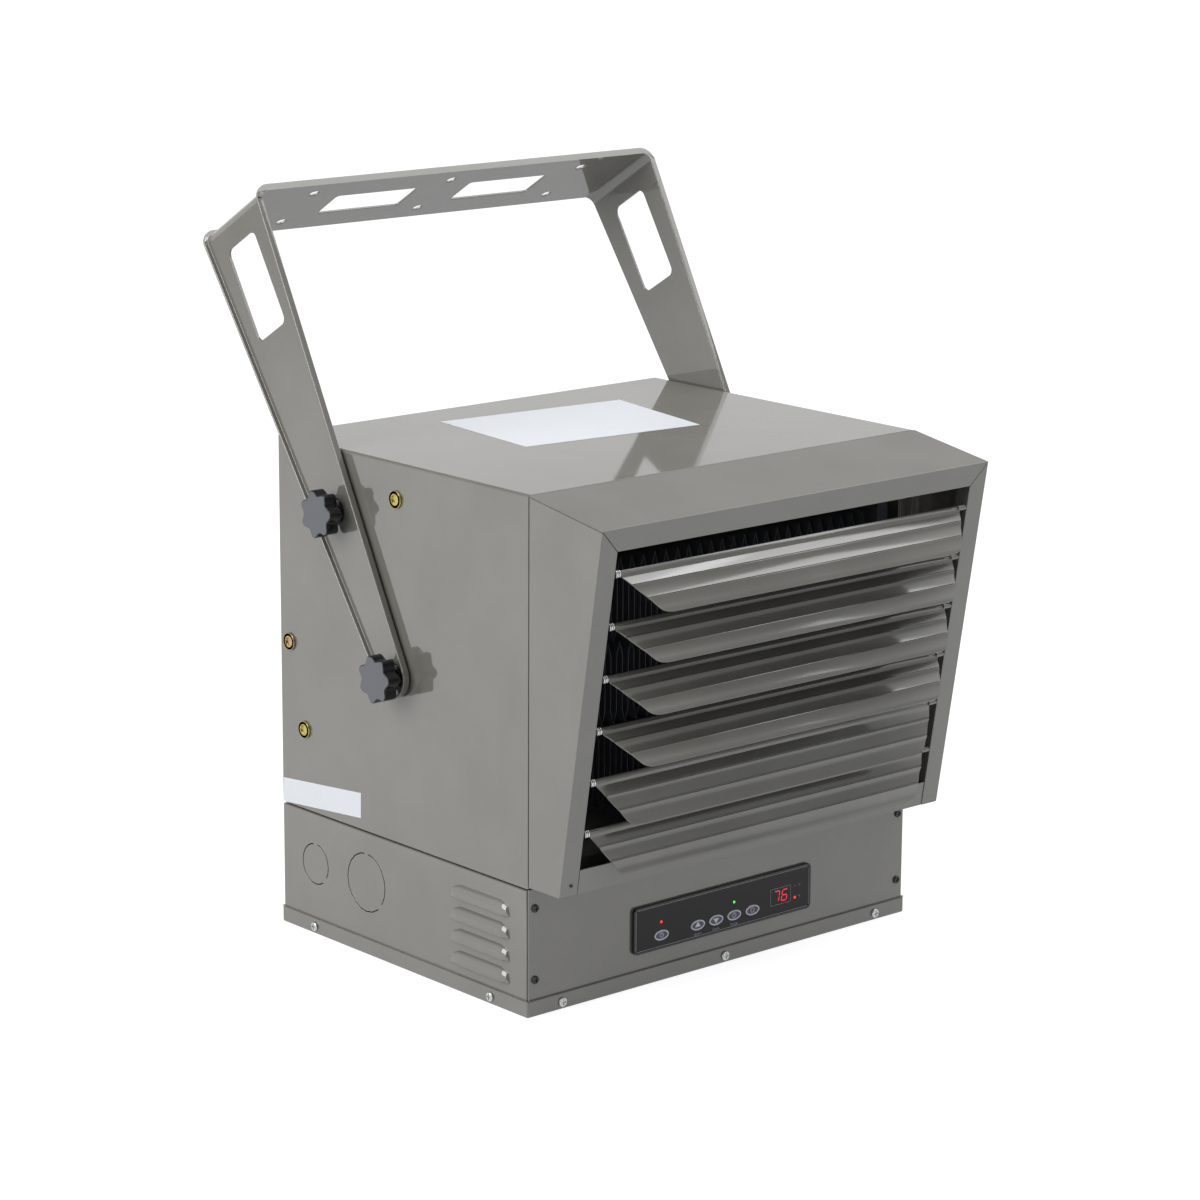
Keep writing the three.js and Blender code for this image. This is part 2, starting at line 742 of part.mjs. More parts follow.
function rearPanel() {
  const top = cabinetHeight - sheet - fit;
  const plate = prism('y', roundedRectangle(
    2 * (insideHalf - fit), top - cabinetBottom, Math.max(cornerRadius - sheet, fit),
    0, (top + cabinetBottom) / 2,
  ), [rearPanelFront, halfDepth], 2);
  const radius = inletDiameter / 2;
  const lip = turnedOnY([
    [radius, halfDepth],
    [radius, rearPanelFront - inletLip],
    [radius + sheet, rearPanelFront - inletLip],
    [radius + sheet, halfDepth],
    [radius, halfDepth],
  ], [0, fanZ], 32);
  const hole = rod('y', inletDiameter, [rearPanelFront - 1, halfDepth + 1], [0, fanZ], 32);
  return join(cut(plate, hole), lip);
}

function deckPlate() {
  const half = insideHalf - fit;
  const frontHalf = halfWidth - flangeWidth - fit;
  const behindFlange = -halfDepth + sheet + fit;
  const thickness = [deckBottom, deckTop];
  return join(
    block([-half, half], [behindFlange, rearFlangeBack - sheet - fit], thickness),
    block([-frontHalf, frontHalf], [-halfDepth, behindFlange + sheet], thickness),
    block(
      [-frontHalf, frontHalf], [-halfDepth, -halfDepth + sheet], [deckBottom, deckTop + flangeWidth],
    ),
  );
}

addNode(heater, 'cabinet_shell', cabinetShell(), paint);
addNode(heater, 'rear_panel', rearPanel(), paint);
addNode(heater, 'deck_plate', deckPlate(), galvanised);

// ------------------------------------------------------------------ insert plates

const doublerOutside = insideHalf - fit;
const doublerInside = doublerOutside - doublerSheet;
const barrelInside = doublerOutside - insertLength;

// A fan-shaped doubler inside the side panel, with a barrel and an outside flange per insert.
function insertPlate(side) {
  const outerRadius = lockRadius + doublerMargin;
  const spread = doublerMargin / lockRadius;
  const spreadAtPivot = radians(35);
  const first = Math.PI / 2 + spread;
  const last = Math.PI / 2 - radians(insertAngles[insertAngles.length - 1]) - spread;
  const outline = new THREE.Shape();
  outline.absarc(yokePivotY, yokePivotZ, outerRadius, first, last, true);
  outline.absarc(
    yokePivotY, yokePivotZ, 2 * doublerMargin,
    last - spreadAtPivot, first + spreadAtPivot - 2 * Math.PI, true,
  );
  let plate = prism('x', outline, across(side, doublerInside, doublerOutside), 5);
  const flange = across(side, halfWidth + fit, yokeInsideHalf - fit);
  for (const place of insertPlaces) {
    plate = join(
      plate,
      rod('x', insertBarrel, across(side, barrelInside, halfWidth + 2 * fit), place, 6),
      rod('x', insertFlange, flange, place, 12),
    );
  }
  for (const place of insertPlaces) {
    const bore = across(side, barrelInside - 1, yokeInsideHalf);
    plate = cut(plate, rod('x', studDiameter + 2 * studClearance, bore, place, 8));
  }
  return plate;
}

addNode(heater, 'insert_plate_left', insertPlate(-1), yellowZinc);
addNode(heater, 'insert_plate_right', insertPlate(1), yellowZinc);

// ------------------------------------------------------------------ fan, motor and bulkhead

function fanBulkhead() {
  const half = doublerInside - fit;
  const top = cabinetHeight - sheet - fit;
  const bottom = deckTop + fit;
  const front = bulkheadY - bulkheadFlange;
  const rear = bulkheadY + sheet;
  const tray = cut(
    block([-half, half], [front, rear], [bottom, top]),
    block([-half + sheet, half - sheet], [front - 1, bulkheadY], [bottom + sheet, top - sheet]),
  );
  const radius = fanDiameter / 2 + fanTipGap;
  const back = bulkheadY + orificeLip;
  const rolled = radius + orificeRadius;
  const lip = turnedOnY([
    [radius, back],
    [radius, bulkheadY + orificeRadius],
    [rolled, bulkheadY],
    [rolled + 2 * sheet, bulkheadY],
    [rolled + 2 * sheet, rear],
    [rolled + sheet / 2, rear],
    [radius + sheet, rear + 2 * sheet],
    [radius + sheet, back],
    [radius, back],
  ], [0, fanZ], 32);
  const hole = rod('y', 2 * rolled, [bulkheadY - 1, rear + 1], [0, fanZ], 32);
  return join(cut(tray, hole), lip);
}

// Four flat arms from a centre plate, folded forward into legs that stand on the bulkhead.
function motorBracket() {
  const footFront = bulkheadY + sheet + fit;
  const arm = (angle) => {
    const half = strapWidth / 2;
    const outline = [
      [0, strapFront],
      [strapReach - strapSheet, strapFront],
      [strapReach - strapSheet, footFront],
      [strapReach + strapFoot, footFront],
      [strapReach + strapFoot, footFront + strapSheet],
      [strapReach, footFront + strapSheet],
      [strapReach, strapFront + strapSheet],
      [0, strapFront + strapSheet],
    ];
    const geometry = prismGeometry('z', outline, [-half, half]);
    return solidFrom(geometry.rotateY(angle).translate(0, 0, fanZ));
  };
  const diagonals = [0, 1, 2, 3].map((i) => arm(Math.PI / 4 + (i * Math.PI) / 2));
  const plateBack = strapFront + strapSheet;
  const plate = rod('y', strapPlate, [strapFront, plateBack], [0, fanZ], 20);
  const hole = rod('y', motorBoss + 2 * fit, [strapFront - 1, plateBack + 1], [0, fanZ], 16);
  return cut(join(plate, ...diagonals), hole);
}

const motorFront = strapFront + strapSheet + fit;

function motor() {
  const radius = motorDiameter / 2;
  const rear = motorFront + motorLength;
  const boreRadius = shaftDiameter / 2 + studClearance;
  const bossFront = strapFront - 2 * fit;
  const capRadius = radius - motorWaist;
  const bevelRadius = capRadius - motorCapBevel;
  return turnedOnY([
    [0, motorFront + shaftInMotor],
    [boreRadius, motorFront + shaftInMotor],
    [boreRadius, bossFront],
    [motorBoss / 2, bossFront],
    [motorBoss / 2, motorFront],
    [bevelRadius, motorFront],
    [capRadius, motorFront + motorCapBevel],
    [capRadius, motorFront + motorCapLength],
    [radius, motorFront + motorCapLength],
    [radius, rear - motorCapLength],
    [capRadius, rear - motorCapLength],
    [capRadius, rear - motorCapBevel],
    [bevelRadius, rear],
    [0, rear],
  ], [0, fanZ], 18);
}

// A pressed fan blade: curved sections that flatten and widen from the hub to the tip.
function fanBlade(turn) {
  const sectionCount = 4;
  const chordSteps = 4;
  const rootRadius = fanHubDiameter / 2 - fanHubWall;
  const rings = [];
  for (let k = 0; k < sectionCount; k += 1) {
    const share = k / (sectionCount - 1);
    const radius = THREE.MathUtils.lerp(rootRadius, fanDiameter / 2, share);
    const chord = THREE.MathUtils.lerp(fanRootChord, fanTipChord, share);
    const pitch = radians(THREE.MathUtils.lerp(fanRootPitch, fanTipPitch, share));
    const point = (i, lift) => {
      const fromMiddle = i / chordSteps - 0.5;
      const along = fromMiddle * chord;
      const bow = fanCamber * (1 - 4 * fromMiddle * fromMiddle) + lift;
      const around = (along * Math.cos(pitch) - bow * Math.sin(pitch)) / radius + turn;
      const axial = along * Math.sin(pitch) + bow * Math.cos(pitch);
      return new THREE.Vector3(
        radius * Math.cos(around), fanCentreY + axial, fanZ + radius * Math.sin(around),
      );
    };
    const ring = [];
    for (let i = 0; i <= chordSteps; i += 1) ring.push(point(i, 0));
    for (let i = chordSteps; i >= 0; i -= 1) ring.push(point(i, -fanBladeSheet));
    rings.push(ring);
  }
  return loft(rings);
}

function fan() {
  const hubRadius = fanHubDiameter / 2;
  const hubFront = fanCentreY - fanHubLength / 2;
  const hubBack = fanCentreY + fanHubLength / 2;
  const cupBottom = hubFront + fanHubNose;
  const hub = turnedOnY([
    [0, hubFront],
    [hubRadius - fanHubBevel, hubFront],
    [hubRadius, hubFront + fanHubBevel],
    [hubRadius, hubBack],
    [hubRadius - fanHubWall, hubBack],
    [hubRadius - fanHubWall, cupBottom],
    [0, cupBottom],
  ], [0, fanZ], 16);
  const shaftEnd = motorFront + shaftInMotor - 1;
  const shaft = rod('y', shaftDiameter, [hubFront + fanHubWall, shaftEnd], [0, fanZ], 8);
  let whole = join(hub, shaft);
  for (let i = 0; i < fanBladeCount; i += 1) {
    whole = join(whole, fanBlade((i * Math.PI * 2) / fanBladeCount));
  }
  return whole;
}

// Welded wire guard: rings in front of spokes, standing off the rear panel on four lugs.
function rearGuard() {
  const spokeY = halfDepth + fit + guardStandoff;
  const ringY = spokeY + guardWire - fit * 2;
  const outerRadius = inletDiameter / 2 + guardMargin;
  let guard = null;
  for (let i = 0; i < guardRingCount; i += 1) {
    const share = i / (guardRingCount - 1);
    const radius = THREE.MathUtils.lerp(guardInnerRadius, outerRadius, share);
    const ring = new THREE.TorusGeometry(radius, guardWire / 2, 4, 22).rotateX(Math.PI / 2);
    const solid = solidFrom(ring.translate(0, ringY, fanZ));
    guard = guard ? join(guard, solid) : solid;
  }
  for (let i = 0; i < guardSpokes; i += 1) {
    const angle = (i * Math.PI * 2) / guardSpokes;
    const length = outerRadius - guardInnerRadius + 2 * guardWire;
    const spoke = new THREE.CylinderGeometry(guardWire / 2, guardWire / 2, length, 4);
    spoke.rotateZ(-Math.PI / 2).translate(guardInnerRadius - guardWire + length / 2, spokeY, 0);
    guard = join(guard, solidFrom(spoke.rotateY(angle).translate(0, 0, fanZ)));
  }
  for (let i = 0; i < guardLugs; i += 1) {
    const angle = ((i + 0.5) * Math.PI * 2) / guardLugs;
    const x = outerRadius * Math.cos(angle);
    const z = fanZ + outerRadius * Math.sin(angle);
    guard = join(guard, rod('y', 3 * guardWire, [halfDepth + fit, ringY], [x, z], 8));
  }
  return guard;
}

addNode(heater, 'fan_bulkhead', fanBulkhead(), galvanised);
addNode(heater, 'motor_bracket', motorBracket(), zinc);
addNode(heater, 'motor', motor(), motorBlack);
addNode(heater, 'fan', fan(), fanAluminium);
addNode(heater, 'rear_guard', rearGuard(), blackElement);

// ------------------------------------------------------------------ heating elements

const legOffsets = [-legSpacing / 2, legSpacing / 2];
const bracketHalf = halfWidth - bracketInset;
const finHalfSpan = bracketHalf - finFromBracket;
const elementY = elementFromFront - halfDepth + finDepth / 2;
const elementBottom = deckTop + elementLift;
const elementPitch = (cabinetHeight - elementHeadroom - elementBottom) / elementCount;
const elementCentre = (i) => elementBottom + elementPitch * (i + 0.5);

// A hairpin tube in the X-Z plane: two legs and a bend outside the right bracket.
function hairpin(centreZ) {
  const sides = 6;
  const bendSteps = 6;
  const radius = elementTube / 2;
  const bendRadius = legSpacing / 2;
  const bendX = bracketHalf + 3 * sheet;
  const leftX = -bracketHalf - 5 * sheet;
  const ringAt = (x, z, angle) => {
    const ring = [];
    for (let k = 0; k < sides; k += 1) {
      const turn = (k * Math.PI * 2) / sides;
      const out = radius * Math.cos(turn);
      ring.push(new THREE.Vector3(
        x + out * Math.sin(angle), elementY + radius * Math.sin(turn), z - out * Math.cos(angle),
      ));
    }
    return ring;
  };
  const rings = [ringAt(leftX, centreZ - bendRadius, 0)];
  for (let i = 0; i <= bendSteps; i += 1) {
    const angle = (i * Math.PI) / bendSteps;
    rings.push(ringAt(
      bendX + bendRadius * Math.sin(angle), centreZ - bendRadius * Math.cos(angle), angle,
    ));
  }
  rings.push(ringAt(leftX, centreZ + bendRadius, Math.PI));
  let tube = loft(rings);
  for (const offset of legOffsets) {
    const reach = [leftX - terminalLength, leftX + 1];
    tube = join(tube, rod('x', terminalDiameter, reach, [elementY, centreZ + offset], 6));
  }
  return tube;
}

function heatingElement(centreZ) {
  let element = hairpin(centreZ);
  const half = (elementPitch - finGap) / 2;
  for (let i = 0; i < finCount; i += 1) {
    const x = THREE.MathUtils.lerp(-finHalfSpan, finHalfSpan, i / (finCount - 1));
    element = join(element, block(
      [x - finSheet / 2, x + finSheet / 2],
      [elementY - finDepth / 2, elementY + finDepth / 2],
      [centreZ - half, centreZ + half],
    ));
  }
  return element;
}

// An upright plate on the deck that all three hairpins pass through, folded at both edges.
function elementBracket(side) {
  const bottom = deckTop + fit;
  const top = cabinetHeight - sheet - fit;
  const front = elementY - finDepth / 2;
  const back = elementY + finDepth / 2;
  const outer = bracketHalf + bracketFlange;
  let bracket = cut(
    block(across(side, bracketHalf, outer), [front, back], [bottom, top]),
    block(
      across(side, bracketHalf + sheet, outer + 1),
      [front + sheet, back - sheet],
      [bottom + sheet, top - sheet],
    ),
  );
  for (let i = 0; i < elementCount; i += 1) {
    for (const offset of legOffsets) {
      const through = across(side, bracketHalf - 1, bracketHalf + sheet + 1);
      const place = [elementY, elementCentre(i) + offset];
      bracket = cut(bracket, rod('x', elementTube + 2 * fit, through, place, 6));
    }
  }
  return bracket;
}

// A snap-disc limiter: flange, can and two tabs, on the front of the bulkhead.
function thermalCutout() {
  const x = halfWidth - limiterPlace.fromRight;
  const z = cabinetHeight - limiterPlace.fromTop;
  const back = bulkheadY - fit;
  const canFront = back - limiterCan.length;
  const flange = rod('y', limiterFlange.diameter, [back - limiterFlange.length, back], [x, z], 16);
  const can = rod('y', limiterCan.diameter, [canFront, back - limiterFlange.length / 2], [x, z], 12);
  const tabs = [-1, 1].map((side) => {
    const middle = x + (side * limiterTab.spacing) / 2;
    return block(
      [middle - limiterTab.width / 2, middle + limiterTab.width / 2],
      [canFront - limiterTab.length, canFront + 1],
      [z - limiterTab.height / 2, z + limiterTab.height / 2],
    );
  });
  return join(flange, can, ...tabs);
}

// The room sensor stands in the incoming air behind the bulkhead, in a clip on the deck.
function temperatureSensor() {
  const x = halfWidth - sensorPlace.fromRight;
  const y = halfDepth - sensorPlace.fromRear;
  const bottom = deckTop + fit;
  const bulbZ = bottom + sensorStem.height + sensorBulb.diameter / 3;
  const bulb = [x - sensorBulb.length / 2, x + sensorBulb.length / 2];
  return join(
    standing([x, y], sensorFoot, bottom),
    standing([x, y], { ...sensorStem, depth: sensorFoot.depth }, bottom),
    rod('x', sensorBulb.diameter, bulb, [y, bulbZ], 10),
  );
}

const elementNames = ['lower', 'middle', 'upper'];
for (let i = 0; i < elementCount; i += 1) {
  const name = `heating_element_${elementNames[i]}`;
  addNode(heater, name, heatingElement(elementCentre(i)), blackElement);
}
addNode(heater, 'element_bracket_left', elementBracket(-1), galvanised);
addNode(heater, 'element_bracket_right', elementBracket(1), galvanised);
addNode(heater, 'thermal_cutout', thermalCutout(), blackPlastic);
addNode(heater, 'temperature_sensor', temperatureSensor(), blackPlastic);

// ------------------------------------------------------------------ discharge hood

// The hood group's origin is the hood's top front edge; its local -Z runs down the front
// plane and its local -Y points out of it.
const hoodBottom = compartmentHeight + hoodLift;
const hoodTop = cabinetHeight - hoodReach * Math.tan(radians(hoodTilt));
const hoodSlope = (hoodTop - hoodBottom) / Math.cos(radians(hoodTilt));
const hood = new THREE.Group();
hood.position.set(0, -halfDepth - hoodReach, hoodTop);
hood.rotation.x = radians(hoodTilt);
hood.updateMatrix();
heater.add(hood);

const intoHood = hood.matrix.clone().invert();
const hoodSolid = (geometry) => solidFrom(geometry.applyMatrix4(intoHood));

// A point given as [y, z] of the whole heater, in the hood's own frame.
function hoodPoint(y, z) {
  const point = new THREE.Vector3(0, y, z).applyMatrix4(intoHood);
  return [point.y, point.z];
}

const hoodBack = -halfDepth - fit;
const hoodLowFront = -halfDepth - hoodReach + hoodSlope * Math.sin(radians(hoodTilt));
const openingHalf = halfWidth - hoodSideFlange;
const returnOuter = openingHalf + sheet;
const louverPitch = (hoodSlope - firstLouver - lastLouver) / (louverRestAngles.length - 1);
const leanBack = Math.tan(radians(hoodTilt));

function uprightBlock([x0, x1], [y0, y1], [z0, z1]) {
  return hoodSolid(prismGeometry('x', [[y0, z0], [y1, z0], [y1, z1], [y0, z1]], [x0, x1]));
}

function hoodTopSheet() {
  const [backTop] = hoodPoint(hoodBack, cabinetHeight);
  const sheetTop = prism(
    'x', [[0, 0], [0, -sheet], [backTop, -sheet], [backTop, 0]], [-halfWidth, halfWidth],
  );
  const flange = prism('y', [
    [-halfWidth, 0], [halfWidth, 0], [openingHalf, -hoodTopFlange], [-openingHalf, -hoodTopFlange],
  ], [0, sheet]);
  const half = halfWidth - flangeWidth;
  const rear = uprightBlock(
    [-half, half],
    [hoodBack - sheet, hoodBack],
    [cabinetHeight - flangeWidth, cabinetHeight - sheet / 2],
  );
  const beyond = uprightBlock(
    [-halfWidth - 1, halfWidth + 1], [hoodBack, hoodBack + 10],
    [cabinetHeight - 30, cabinetHeight + 10],
  );
  return cut(join(sheetTop, flange, rear), beyond);
}

function hoodCheek(side) {
  const top = -sheet - fit;
  const [lowFrontY, lowFrontZ] = hoodPoint(hoodLowFront, hoodBottom);
  const [lowBackY, lowBackZ] = hoodPoint(hoodBack, hoodBottom);
  const topBackY = lowBackY + (top - lowBackZ) * leanBack;
  const wall = prism('x', [
    [lowFrontY, lowFrontZ], [lowBackY, lowBackZ], [topBackY, top], [lowFrontY, top],
  ], across(side, insideHalf, halfWidth));
  const mitre = hoodTopFlange / hoodSideFlange;
  const gap = 2 * fit;
  const flange = prism('y', [
    [side * halfWidth, top],
    [side * (halfWidth + (top + gap) / mitre), top],
    [side * openingHalf, -gap - hoodSideFlange * mitre],
    [side * openingHalf, -hoodSlope],
    [side * halfWidth, -hoodSlope],
  ], [0, sheet]);
  const returnWall = prism('x', [
    [0, -hoodTopFlange - gap], [hoodReturn, -hoodTopFlange - gap],
    [hoodReturn, -hoodSlope + hoodReturn * leanBack], [0, -hoodSlope],
  ], across(side, openingHalf, returnOuter));
  const bottom = uprightBlock(
    across(side, openingHalf, halfWidth),
    [hoodLowFront + fit, hoodBack],
    [hoodBottom, hoodBottom + sheet],
  );
  const rear = uprightBlock(
    across(side, halfWidth - flangeWidth, halfWidth),
    [hoodBack - sheet, hoodBack],
    [hoodBottom, cabinetHeight - flangeWidth - fit],
  );
  let cheek = join(wall, flange, returnWall, bottom, rear);
  for (let i = 0; i < louverRestAngles.length; i += 1) {
    const place = [pivotSetback, -firstLouver - i * louverPitch];
    const through = across(side, openingHalf - 1, returnOuter + 1);
    cheek = cut(cheek, rod('x', louverPin + 2 * fit, through, place, 8));
  }
  return cheek;
}

function hoodSill() {
  const half = openingHalf - fit;
  const face = prism('x', [
    [fit, -hoodSlope], [fit, -hoodSlope + sillHeight],
    [fit + sheet, -hoodSlope + sillHeight], [fit + sheet, -hoodSlope],
  ], [-half, half]);
  const bottom = uprightBlock(
    [-half, half], [hoodLowFront + fit, hoodBack], [hoodBottom, hoodBottom + sheet],
  );
  const rear = uprightBlock(
    [-half, half], [hoodBack - sheet, hoodBack], [hoodBottom, deckTop + flangeWidth],
  );
  return join(face, bottom, rear);
}

addNode(hood, 'hood_top', hoodTopSheet(), paint);
addNode(hood, 'hood_left', hoodCheek(-1), paint);
addNode(hood, 'hood_right', hoodCheek(1), paint);
addNode(hood, 'hood_sill', hoodSill(), paint);

// ------------------------------------------------------------------ louvers

const bladeChord = louverPitch - louverGap;
const bladeHalfTop = openingHalf - bladeEndGap;

// Roll-formed section in the blade's own frame: the chord runs along -Y from the pivot.
// A hemmed lip, a valley, then three flats parted by two steps.
function bladeSection() {
  const third = bladeChord / 3;
  const hemBottom = lipRise - hemThickness;
  const upper = [
    [-lipDepth, lipRise],
    [lipDepth, lipRise],
    [lipDepth + valleyWidth / 10, 0],
    [lipDepth + valleyWidth / 2, -valleyDrop],
    [lipDepth + valleyWidth, 0],
  ];
  for (let flat = 1; flat <= 3; flat += 1) {
    const end = flat * third;
    upper.push([end, stepDrop / 2]);
    if (flat < 3) upper.push([end + stepRun, -stepDrop / 2]);
  }
  const lower = upper.slice(2).reverse().map(([along, height]) => [along, height - bladeSheet]);
  lower.push([lipDepth, hemBottom], [-lipDepth, hemBottom]);
  return upper.concat(lower).map(([along, height]) => [-along, height]);
}

// The ends are cut back on a slant, with a rounded free corner.
function bladePlan() {
  const third = bladeChord / 3;
  const firstStep = bladeHalfTop - bladeCutBack.firstStep;
  const secondStep = bladeHalfTop - bladeCutBack.secondStep;
  const freeEdge = bladeHalfTop - bladeCutBack.freeEdge;
  const slant = (secondStep - freeEdge) / third;
  const cornerHalf = freeEdge + slant * bladeCornerRise;
  const plan = new THREE.Shape();
  plan.moveTo(-bladeHalfTop, lipDepth + 1);
  plan.lineTo(-bladeHalfTop, -lipDepth);
  plan.lineTo(-firstStep, -third);
  plan.lineTo(-secondStep, -2 * third);
  plan.lineTo(-cornerHalf, -bladeChord + bladeCornerRise);
  plan.quadraticCurveTo(-freeEdge, -bladeChord, -freeEdge + bladeCorner, -bladeChord);
  plan.lineTo(freeEdge - bladeCorner, -bladeChord);
  plan.quadraticCurveTo(freeEdge, -bladeChord, cornerHalf, -bladeChord + bladeCornerRise);
  plan.lineTo(secondStep, -2 * third);
  plan.lineTo(firstStep, -third);
  plan.lineTo(bladeHalfTop, -lipDepth);
  plan.lineTo(bladeHalfTop, lipDepth + 1);
  return plan;
}

function louver() {
  const strip = prism('x', bladeSection(), [-bladeHalfTop, bladeHalfTop]);
  const blade = strip.intersect(prism('z', bladePlan(), [-2 * stepRun, 2 * stepRun], 4));
  const pinEnd = returnOuter + pinReach;
  return join(
    blade,
    rod('x', louverPin, [-pinEnd, pinInBlade - bladeHalfTop], [0, 0], 8),
    rod('x', louverPin, [bladeHalfTop - pinInBlade, pinEnd], [0, 0], 8),
    rod('x', shoulderDiameter, [bladeHalfTop - lipDepth, openingHalf - fit], [0, 0], 8),
  );
}

// A coil of round wire along X, as one unbroken line.
class Coil extends THREE.Curve {
  constructor(start, length, radius, curls) {
    super();
    Object.assign(this, { start, length, radius, curls });
  }

  getPoint(share) {
    const turn = share * this.curls * Math.PI * 2;
    return new THREE.Vector3(
      this.start + share * this.length, this.radius * Math.cos(turn), this.radius * Math.sin(turn),
    );
  }
}

const springSpan = openingHalf - bladeHalfTop - 2 * fit - springWire;
const springCurve = new Coil(
  -openingHalf + fit + springWire / 2, springSpan, (springOutside - springWire) / 2, springCurls,
);

function louverSpring() {
  const section = [];
  for (let k = 0; k < springSides; k += 1) {
    const turn = (k * Math.PI * 2) / springSides;
    section.push(new THREE.Vector2(
      (springWire / 2) * Math.cos(turn), (springWire / 2) * Math.sin(turn),
    ));
  }
  return solidFrom(new THREE.ExtrudeGeometry(new THREE.Shape(section), {
    steps: springCurls * stepsPerCurl,
    extrudePath: springCurve,
  }));
}

// The least open space between one curl and the next, measured on points of the wire's middle.
function leastCoilGap() {
  const points = springCurve.getPoints(springCurls * stepsPerCurl * 4);
  const apart = stepsPerCurl * 2;
  let least = Infinity;
  for (let i = 0; i < points.length; i += 1) {
    for (let j = i + apart; j < points.length; j += 1) {
      least = Math.min(least, points[i].distanceTo(points[j]));
    }
  }
  return least - springWire;
}
console.log(`least gap between spring curls: ${leastCoilGap().toFixed(2)} mm`);

louverRestAngles.forEach((angle, i) => {
  const pivot = new THREE.Group();
  pivot.position.set(0, pivotSetback, -firstLouver - i * louverPitch);
  hood.add(pivot);
  addNode(pivot, `louver_spring_${i + 1}`, louverSpring(), springSteel);
  const blade = new THREE.Group();
  blade.rotation.x = radians(angle - hoodTilt);
  pivot.add(blade);
  addNode(blade, `louver_${i + 1}`, louver(), paint);
});

// ------------------------------------------------------------------ yoke and knobs

// The yoke group's origin is the pivot; its local +Z runs up the arms, +Y is its depth.
const yokeGroup = new THREE.Group();
yokeGroup.position.set(0, yokePivotY, yokePivotZ);
yokeGroup.rotation.x = -radians(yokeTilt);
heater.add(yokeGroup);

// Side view of an arm in Y-Z: a round end at the pivot, widening to the cross-bar.
function armOutline(inset) {
  const end = yokeEndRadius - inset;
  const half = yokeTopHalfDepth - inset;
  const beyond = yokeLength + 4 * yokeFlangeReach;
  const outline = new THREE.Shape();
  outline.absarc(0, 0, end, Math.PI, Math.PI * 2, false);
  outline.lineTo(half, yokeLength);
  outline.lineTo(half, beyond);
  outline.lineTo(-half, beyond);
  outline.lineTo(-half, yokeLength);
  return outline;
}

function yoke() {
  const depth = [-2 * yokeTopHalfDepth, 2 * yokeTopHalfDepth];
  const width = [-yokeInsideHalf - 3 * yokeFlangeReach, yokeInsideHalf + 3 * yokeFlangeReach];
  const bottom = -2 * yokeEndRadius;
  const channel = (thickness, outerRadius) => prism('y', archOutline(
    yokeInsideHalf, bottom, yokeLength, thickness, yokeInnerRadius, outerRadius,
  ), depth, 5);
  const whole = prism('x', armOutline(0), width, 6);
  const inner = prism('x', armOutline(yokeSheet), width, 6);
  const web = channel(yokeSheet, yokeInnerRadius + yokeSheet).intersect(whole);
  const flanges = channel(yokeFlangeReach, yokeEdgeRadius).intersect(cut(whole, inner));
  const windowHeight = yokeWindow.high - yokeWindow.low;
  const windowMiddle = yokeWindow.low + windowHeight / 2;
  const armWindows = prism('x', roundedRectangle(
    2 * yokeWindow.halfDepth, windowHeight, yokeWindow.radius, 0, windowMiddle,
  ), width, 3);
  let bracket = cut(join(web, flanges), armWindows);
  const barHoles = [yokeLength - 1, yokeLength + yokeFlangeReach + 1];
  for (const side of [-1, 1]) {
    const middle = (side * (barWindow.near + barWindow.far)) / 2;
    bracket = cut(bracket, prism('z', roundedRectangle(
      barWindow.far - barWindow.near, 2 * barWindow.halfDepth, barWindow.radius, middle, 0,
    ), barHoles, 1));
  }
  for (const x of [-hangingHole.spacing, 0, hangingHole.spacing]) {
    for (const y of [-hangingHole.depth, hangingHole.depth]) {
      bracket = cut(bracket, rod('z', hangingHole.diameter, barHoles, [x, y], 10));
    }
  }
  for (const along of [0, lockRadius]) {
    bracket = cut(bracket, rod('x', studDiameter + 2 * studClearance, width, [0, along], 10));
  }
  return bracket;
}

// A star knob on its stud, drawn round the X axis at the origin of its group.
function starKnob(side, studEnd) {
  const hubStart = yokeInsideHalf + yokeSheet + fit;
  const headStart = hubStart + knobHubLength;
  const pointCount = knobLobes * 4;
  const outline = [];
  for (let k = 0; k < pointCount; k += 1) {
    const turn = (k * Math.PI * 2) / pointCount;
    const radius = knobDiameter / 2 - knobEdge - (knobLobeDepth * (1 - Math.cos(knobLobes * turn))) / 2;
    outline.push(new THREE.Vector2(radius * Math.cos(turn), radius * Math.sin(turn)));
  }
  const geometry = new THREE.ExtrudeGeometry(new THREE.Shape(outline), {
    depth: knobHeadThickness - 2 * knobEdge,
    bevelThickness: knobEdge,
    bevelSize: knobEdge,
    bevelSegments: 1,
  });
  geometry.applyMatrix4(pullMatrix.x);
  const middle = side * (headStart + knobHeadThickness / 2);
  geometry.translate(middle - (knobHeadThickness - 2 * knobEdge) / 2, 0, 0);
  return join(
    solidFrom(geometry),
    rod('x', knobHubDiameter, across(side, hubStart, headStart + knobEdge), [0, 0], 12),
    rod('x', studDiameter, across(side, studEnd, headStart), [0, 0], 8),
  );
}

addNode(yokeGroup, 'yoke', yoke(), paint);
const lockGroup = new THREE.Group();
lockGroup.position.z = lockRadius;
yokeGroup.add(lockGroup);
const pivotStudEnd = barrelInside + studBelowInsert;
for (const [side, word] of [[-1, 'left'], [1, 'right']]) {
  addNode(yokeGroup, `pivot_knob_${word}`, starKnob(side, pivotStudEnd), blackPlastic);
  addNode(lockGroup, `lock_knob_${word}`, starKnob(side, yokeInsideHalf), blackPlastic);
}

export default heater;
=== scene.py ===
# A ceiling mounted fan heater: grey enamelled cabinet, louvered hood, control panel and yoke.
# Metres. The front faces -Y, +X is the right-hand side seen from the front, +Z is up.
import json
import math
import bmesh
import bpy
from mathutils import Matrix, Vector

